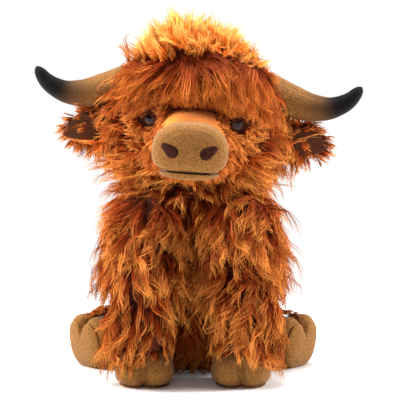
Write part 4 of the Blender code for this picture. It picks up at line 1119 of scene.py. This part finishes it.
def horn_material():
    """Velour that goes from tan to black along the horn, with the nap's patches."""
    material, tree, shader = new_material("horn_velour_shaded", 0.88, 0.16)
    shader.inputs["Sheen Weight"].default_value = 0.05
    share = bake_map(tree)[1]
    nap = placed(tree, velour_group, {"Dark": (0.145, 0.060, 0.014), "Light": (0.33, 0.150, 0.038)})
    past_middle = ranged(tree, share, 0.44, 0.74)
    brown = colour_mix(tree, past_middle, nap.outputs["Color"], (0.080, 0.038, 0.014, 1))
    black = colour_mix(tree, ranged(tree, share, 0.66, 0.80), brown, (0.004, 0.0035, 0.0035, 1))
    dress(tree, shader, black, nap.outputs["Height"], 0.6)
    return material


HORN_VELOUR = horn_material()


def horn_form(side):
    """Circles square to a curve through the rows, drawn in along one line for the seam and rounded off
    at the tip, where the radius follows a quarter circle."""

    def surface(u, v):
        share, x, y, z, radius = np.moveaxis(through(HORN_ROWS, v), -1, 0)
        step = 1e-3
        before = through(HORN_ROWS, np.clip(v - step, 0, 1))[..., 1:4]
        after = through(HORN_ROWS, np.clip(v + step, 0, 1))[..., 1:4]
        along = unit((after - before) * [side, 1, 1])
        up = unit(np.cross(along, [0.0, side * -1.0, 0.0]) * -1)
        across = np.cross(up, along)
        tip = np.sqrt(np.clip(1 - np.clip((v - 0.955) / 0.045, 0, 1) ** 2, 0.0009, 1))
        seam = 1 - 0.05 * np.exp(-((((u - 0.36 + 0.5) % 1) - 0.5) / 0.012) ** 2)
        drawn = radius * tip * seam
        centre = np.stack([x * side, y, z], axis=-1)
        angle = TAU * u
        return centre + (drawn * np.cos(angle))[..., None] * across + (drawn * np.sin(angle))[..., None] * up

    return surface


for word, side in (("left", 1), ("right", -1)):
    grid = from_head(grid_of(horn_form(side), 96, 64))
    horn_nodes = (f"horn_skin_{word}", f"horn_stuffing_{word}")
    add_skin(f"horn_velour_{word}", grid, HORN_VELOUR, "head", "horn_velour", horn_nodes)


# Ears
# Drooping leaves of two layers sewn face to face and folded into the head's seam: long fur on the back
# and edge, and a dark short-pile lining cupped in front.

EAR_LENGTH = 44.0
EAR_DROOP = np.radians(14)
EAR_ROWS = (
    (0.00, 4.8, 4.2),
    (0.12, 7.0, 5.0),
    (0.30, 10.6, 5.4),
    (0.46, 13.0, 5.5),
    (0.64, 12.4, 5.1),
    (0.80, 9.6, 4.2),
    (0.94, 4.8, 2.6),
    (1.00, 1.2, 1.0),
)
EAR_LOCKS = 190
EAR_PIVOTS = {"left": (66.687, -0.725, 193.849), "right": (-61.74, 4.883, 201.708)}
EAR_LINING = velour_material("ear_lining_pile", (0.045, 0.013, 0.005), (0.110, 0.032, 0.011))
EAR_FUR = fur_material("ear_fur_coat", (0.09, 0.012, 0.003), (0.48, 0.085, 0.010), (0.96, 0.370, 0.070))


def ear_form(side, forward, cup, share_high, share_thick):
    """Flat ovals along the drooping ear: half height up and half thickness along y, bent forward at both
    edges by the cup times the square of the height's share."""
    along = np.array([side * np.cos(EAR_DROOP), 0, -np.sin(EAR_DROOP)])
    up = np.array([side * np.sin(EAR_DROOP), 0, np.cos(EAR_DROOP)])

    def surface(u, v):
        share, high, thick = np.moveaxis(through(EAR_ROWS, v), -1, 0)
        tall, deep = ring(u, high * share_high, thick * share_thick)
        y = deep + forward - cup * (tall / 13) ** 2
        flat = along * (EAR_LENGTH * share)[..., None] + up * tall[..., None]
        return flat + np.array([0, 1.0, 0]) * y[..., None]

    return surface


for word, side in (("left", 1), ("right", -1)):
    pivot = np.array(EAR_PIVOTS[word])
    leaf = ear_form(side, 0.6, 1.5, 0.94, 0.8)
    pad = ear_form(side, -3.6, 1.2, 0.80, 0.32)
    for part, form, cloth, slot in (
        ("ear_cloth", leaf, BACKING, "rust_fur"),
        ("ear_lining_pad", pad, EAR_LINING, "ear_velour"),
    ):
        grid = head_way(grid_of(form, 40, 48)) + pivot
        ear_node = f"ear_{'outer' if part == 'ear_cloth' else 'lining'}_{word}"
        add_skin(f"{part}_{word}", grid, cloth, f"ear_{word}", slot, (ear_node,))

    rng = np.random.default_rng(51 + side)

    def rim_and_back(points, normals):
        """All the leaf but the lining's middle, and not the root."""
        return np.where(normals[..., 1] > -0.55, 1.0, 0.28) * (points[..., 0] * side > 0)

    root, normal = scatter(rng, leaf, EAR_LOCKS, rim_and_back)
    middle = np.array([side * np.cos(EAR_DROOP), 0, -np.sin(EAR_DROOP)]) * EAR_LENGTH * 0.42
    away = unit((root - middle) * [1, 0, 1] + 1e-6)
    comb = away * 0.75 + np.array([side * 0.22, -0.10, -0.26]) + rng.normal(0, 0.26, (len(root), 3))
    length = rng.uniform(14, 25, len(root)) * (1 - 0.5 * np.clip(away[:, 0] * side + 0.1, 0, 1))
    path, tone = locks(
        rng, root, normal, comb, length, lift=0.40, droop=0.40, curl=3.4, spread=2.6,
        hairs=9, floor=-90, stations=6,
    )
    add_fur(f"ear_fur_{word}", head_way(path) + pivot, tone, 0.27, EAR_FUR, f"ear_{word}")


# Legs
# Stuffed tubes of the same fur cloth, the forelegs hanging from the shoulders to the floor and the hind
# legs splayed out beside the seat. Their hair runs down to the hooves and hangs over them.

SHOULDER = np.array([37.95, -46.8, 123.24])
FORE_ANKLE = np.array([37.95, -66.0, 25.0])
HIP = np.array([49.68, 27.0, 27.3])
HIND_ANKLE = np.array([70.865, 9.224, 22.92])
FORELEG_ROWS = (
    (-0.22, 6.0), (-0.16, 14.0), (-0.04, 19.0), (0.14, 21.0), (0.50, 19.0), (0.86, 17.0), (0.98, 14.5),
    (1.06, 10.0), (1.09, 5.0),
)
HINDLEG_ROWS = (
    (-0.62, 6.0), (-0.45, 13.0), (0.0, 17.6), (0.40, 18.2), (0.90, 17.0), (1.25, 16.6), (1.40, 13.0),
    (1.46, 5.0),
)
# Painted shade: the legs' hair takes the torso fur's tone scaled down, for the shade under the body.
LEG_PAINTED_SHADE = 0.82


def limb(table, start, end):
    """Circles square to the line from start to end, through rows of a share of that line and a radius."""
    along = unit(end - start)
    across = unit(np.cross(along, [0.0, 1.0, 0.0]))
    up = np.cross(across, along)

    def surface(u, v):
        share, radius = np.moveaxis(through(table, v), -1, 0)
        out, rise = radius * np.cos(TAU * u), radius * np.sin(TAU * u)
        return start + (end - start) * share[..., None] + across * out[..., None] + up * rise[..., None]

    return surface


for word, side in (("left", 1), ("right", -1)):
    mirror = np.array([side, 1, 1])
    for prefix, table, start, end, count, seed in (
        ("foreleg", FORELEG_ROWS, SHOULDER, FORE_ANKLE, 450, 61),
        ("hindleg", HINDLEG_ROWS, HIP, HIND_ANKLE, 145, 71),
    ):
        rng = np.random.default_rng(seed + side)
        form = limb(table, start * mirror, end * mirror)
        grid = grid_of(form, 48, 56)
        grid[..., 2] = np.maximum(grid[..., 2], 1.0)
        body = f"{prefix}_{word}"
        add_skin(f"{body}_cloth", grid, BACKING, body, "rust_fur", (f"{body}_skin", f"{body}_stuffing"))
        along = unit((end - start) * mirror)

        def outside(points, normals):
            """The leg from its root to the ankle, thinner behind and thicker about the root."""
            base = start * mirror
            share = (points - base) @ along / np.linalg.norm(end - start)
            front = np.where(normals[..., 1] > 0.4, 0.35, 1.0)
            return (share < 1.04) * (points[..., 2] > 3) * front * np.where(share < 0.06, 2.2, 1.0)

        root, normal = scatter(rng, form, count, outside)
        level = unit(np.cross(normal, along))
        x, y, z = root.T
        swirl = 0.55 * np.sin(z / 13.0 + x / 9.0 + side) + 0.35 * np.sin(z / 6.0 - y / 8.0)
        if prefix == "foreleg":
            comb = along + level * (swirl + rng.normal(0, 0.32, len(root)))[:, None]
            side_on = np.clip(np.abs(normal[:, 0]) * 1.3, 0, 1)
            foot = 24 - 17 * side_on - rng.uniform(0, 7, len(root))
            length = np.minimum(rng.uniform(28, 42, len(root)), np.maximum(z - foot, 9) * 1.2)
            lift = rng.uniform(0.6, 1.1, len(root)) + 0.5 * (z < 45)
            inner = (normal[:, 0] * side < -0.25) & (z < 70)
            lift, length = lift * np.where(inner, 0.35, 1), length * np.where(inner, 0.65, 1)
        else:
            comb = along * 0.9 + [0, 0, -0.25] + level * (swirl + rng.normal(0, 0.4, len(root)))[:, None]
            length = rng.uniform(18, 28, len(root))
            lift = 0.95
        stations = 7 if prefix == "foreleg" else 5
        path, tone = locks(
            rng, root, normal, comb, length, lift=lift, droop=0.35, curl=5.2, turns=1.1, stations=stations
        )
        # Painted shade: the leg hair's tone is scaled down.
        add_fur(f"{body}_fur", path, LEG_PAINTED_SHADE * tone, HAIR_RADIUS, RUST_FUR, body)


# Hooves
# Two stuffed velour lobes with a cleft between them at the front, on a flat sole of the same velour.
# The fore hooves stand on the floor, and the hind ones stand up with their soles facing out.

HOOF_ROWS = (
    (1.9, 18.4, 19.2, -0.4),
    (3.2, 20.8, 21.6, -0.5),
    (5.6, 22.5, 23.3, -0.7),
    (10.0, 23.2, 24.0, -0.8),
    (15.0, 22.8, 23.4, -0.2),
    (20.0, 21.0, 21.4, 1.6),
    (24.5, 17.4, 17.8, 4.4),
    (27.5, 12.0, 12.6, 6.6),
    (28.8, 6.0, 6.4, 7.8),
)
SOLE_ROWS = (
    (-2.6, 4.0, 4.4, -0.4),
    (-2.3, 10.0, 10.6, -0.4),
    (-1.3, 15.6, 16.4, -0.4),
    (0.2, 19.0, 19.8, -0.5),
    (1.1, 19.8, 20.6, -0.5),
    (1.8, 18.0, 18.8, -0.4),
)
CLEFT_DEPTHS = {"foreleg": 6.5, "hindleg": 10.5}


def hoof_form(table, depth):
    """Level superellipses, drawn in towards the middle at the front by a bell curve of the bearing that
    fades near the top, so that two lobes stand side by side."""

    def surface(u, v):
        z, wide, deep, y = np.moveaxis(through(table, v), -1, 0)
        across, along = ring(u, wide, deep, 2.5)
        off = np.abs(((u - 0.75 + 0.5) % 1) - 0.5)
        cleft = 0.8 * np.exp(-((off / 0.020) ** 2)) + 0.35 * np.exp(-((off / 0.060) ** 2))
        fade = np.clip((25.5 - z) / 9, 0, 1)
        pull = 1 - depth / 23 * cleft * fade
        return np.stack([across * pull, y + along * pull, z], axis=-1)

    return surface


for word, side in (("left", 1), ("right", -1)):
    mirror = np.array([side, 1, 1])
    out = unit((HIND_ANKLE - HIP) * mirror)
    toes_up = unit(np.cross(np.cross(out, [0, 0, 1.0]), out))
    hind_axes = np.stack([np.cross(toes_up, out), -toes_up, -out])
    for prefix, ankle, axes in (
        ("foreleg", FORE_ANKLE * mirror, np.eye(3)),
        ("hindleg", HIND_ANKLE * mirror, hind_axes),
    ):
        body = f"{prefix}_{word}"
        base = ankle - axes[2] * 25.0
        for part, table, rings in (("hoof", HOOF_ROWS, 40), ("sole", SOLE_ROWS, 16)):
            grid = grid_of(hoof_form(table, CLEFT_DEPTHS[prefix]), rings, 112) @ axes + base
            grid[..., 2] = np.maximum(grid[..., 2], 0.0)
            add_skin(f"{body}_{part}_velour", grid, TAN_VELOUR, body, "tan_velour", (f"{body}_{part}",))


# Tail
# A short fur tube sewn in low on the back, hanging to the floor. Longer, paler hair at its end makes the
# tuft.

TAIL_ROOT = np.array([0.0, 72.4, 46.8])
TAIL_WAY = np.array([0.0, np.sin(np.radians(30)), -np.cos(np.radians(30))])
TAIL_ROWS = (
    (-0.18, 2.0), (-0.12, 5.0), (0.0, 6.6), (0.5, 5.2), (1.0, 5.0), (1.3, 7.0), (1.6, 6.4), (1.72, 3.0)
)
TAIL_LOCKS = 120
TAIL_LENGTH = 26.0

rng = np.random.default_rng(81)
tail_form = limb(TAIL_ROWS, TAIL_ROOT, TAIL_ROOT + TAIL_WAY * TAIL_LENGTH)
tail_grid = grid_of(tail_form, 40, 40)
tail_grid[..., 2] = np.maximum(tail_grid[..., 2], 1.0)
add_skin("tail_cloth", tail_grid, BACKING, "tail", "rust_fur", ("tail",))


def whole_tail(points, normals):
    """All of the tail, and twice as thick at its end."""
    return np.where(points[..., 2] < 30, 2.0, 1.0)


root, normal = scatter(rng, tail_form, TAIL_LOCKS, whole_tail)
comb = TAIL_WAY + rng.normal(0, 0.25, (len(root), 3))
length = np.clip((root[:, 2] - 4) * 0.9, 9, 24)
path, tone = locks(rng, root, normal, comb, length, lift=0.45, droop=0.3, curl=2.0, hairs=7, stations=5)
add_fur("tail_fur", path, tone, 0.32, CROWN_FUR, "tail", "golden_fur", ("tail_tuft",))


# Bean bag
# A small pouch of woven cotton, filled with plastic beans and sewn shut, that lies in the seat so that the
# toy sits up. It stays as the frame has it.

POUCH, tree, shader = new_material("pouch_cotton_weave", 0.95)
coords = node(tree, "ShaderNodeTexCoord")
threads = {"Color1": (0.72, 0.68, 0.58, 1), "Color2": (0.62, 0.58, 0.48, 1), "Scale": 900.0}
weave = node(tree, "ShaderNodeTexChecker", {"Vector": coords.outputs["Object"], **threads})
dress(tree, shader, weave.outputs[0])
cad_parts["bean_pouch"].data.materials[0] = POUCH
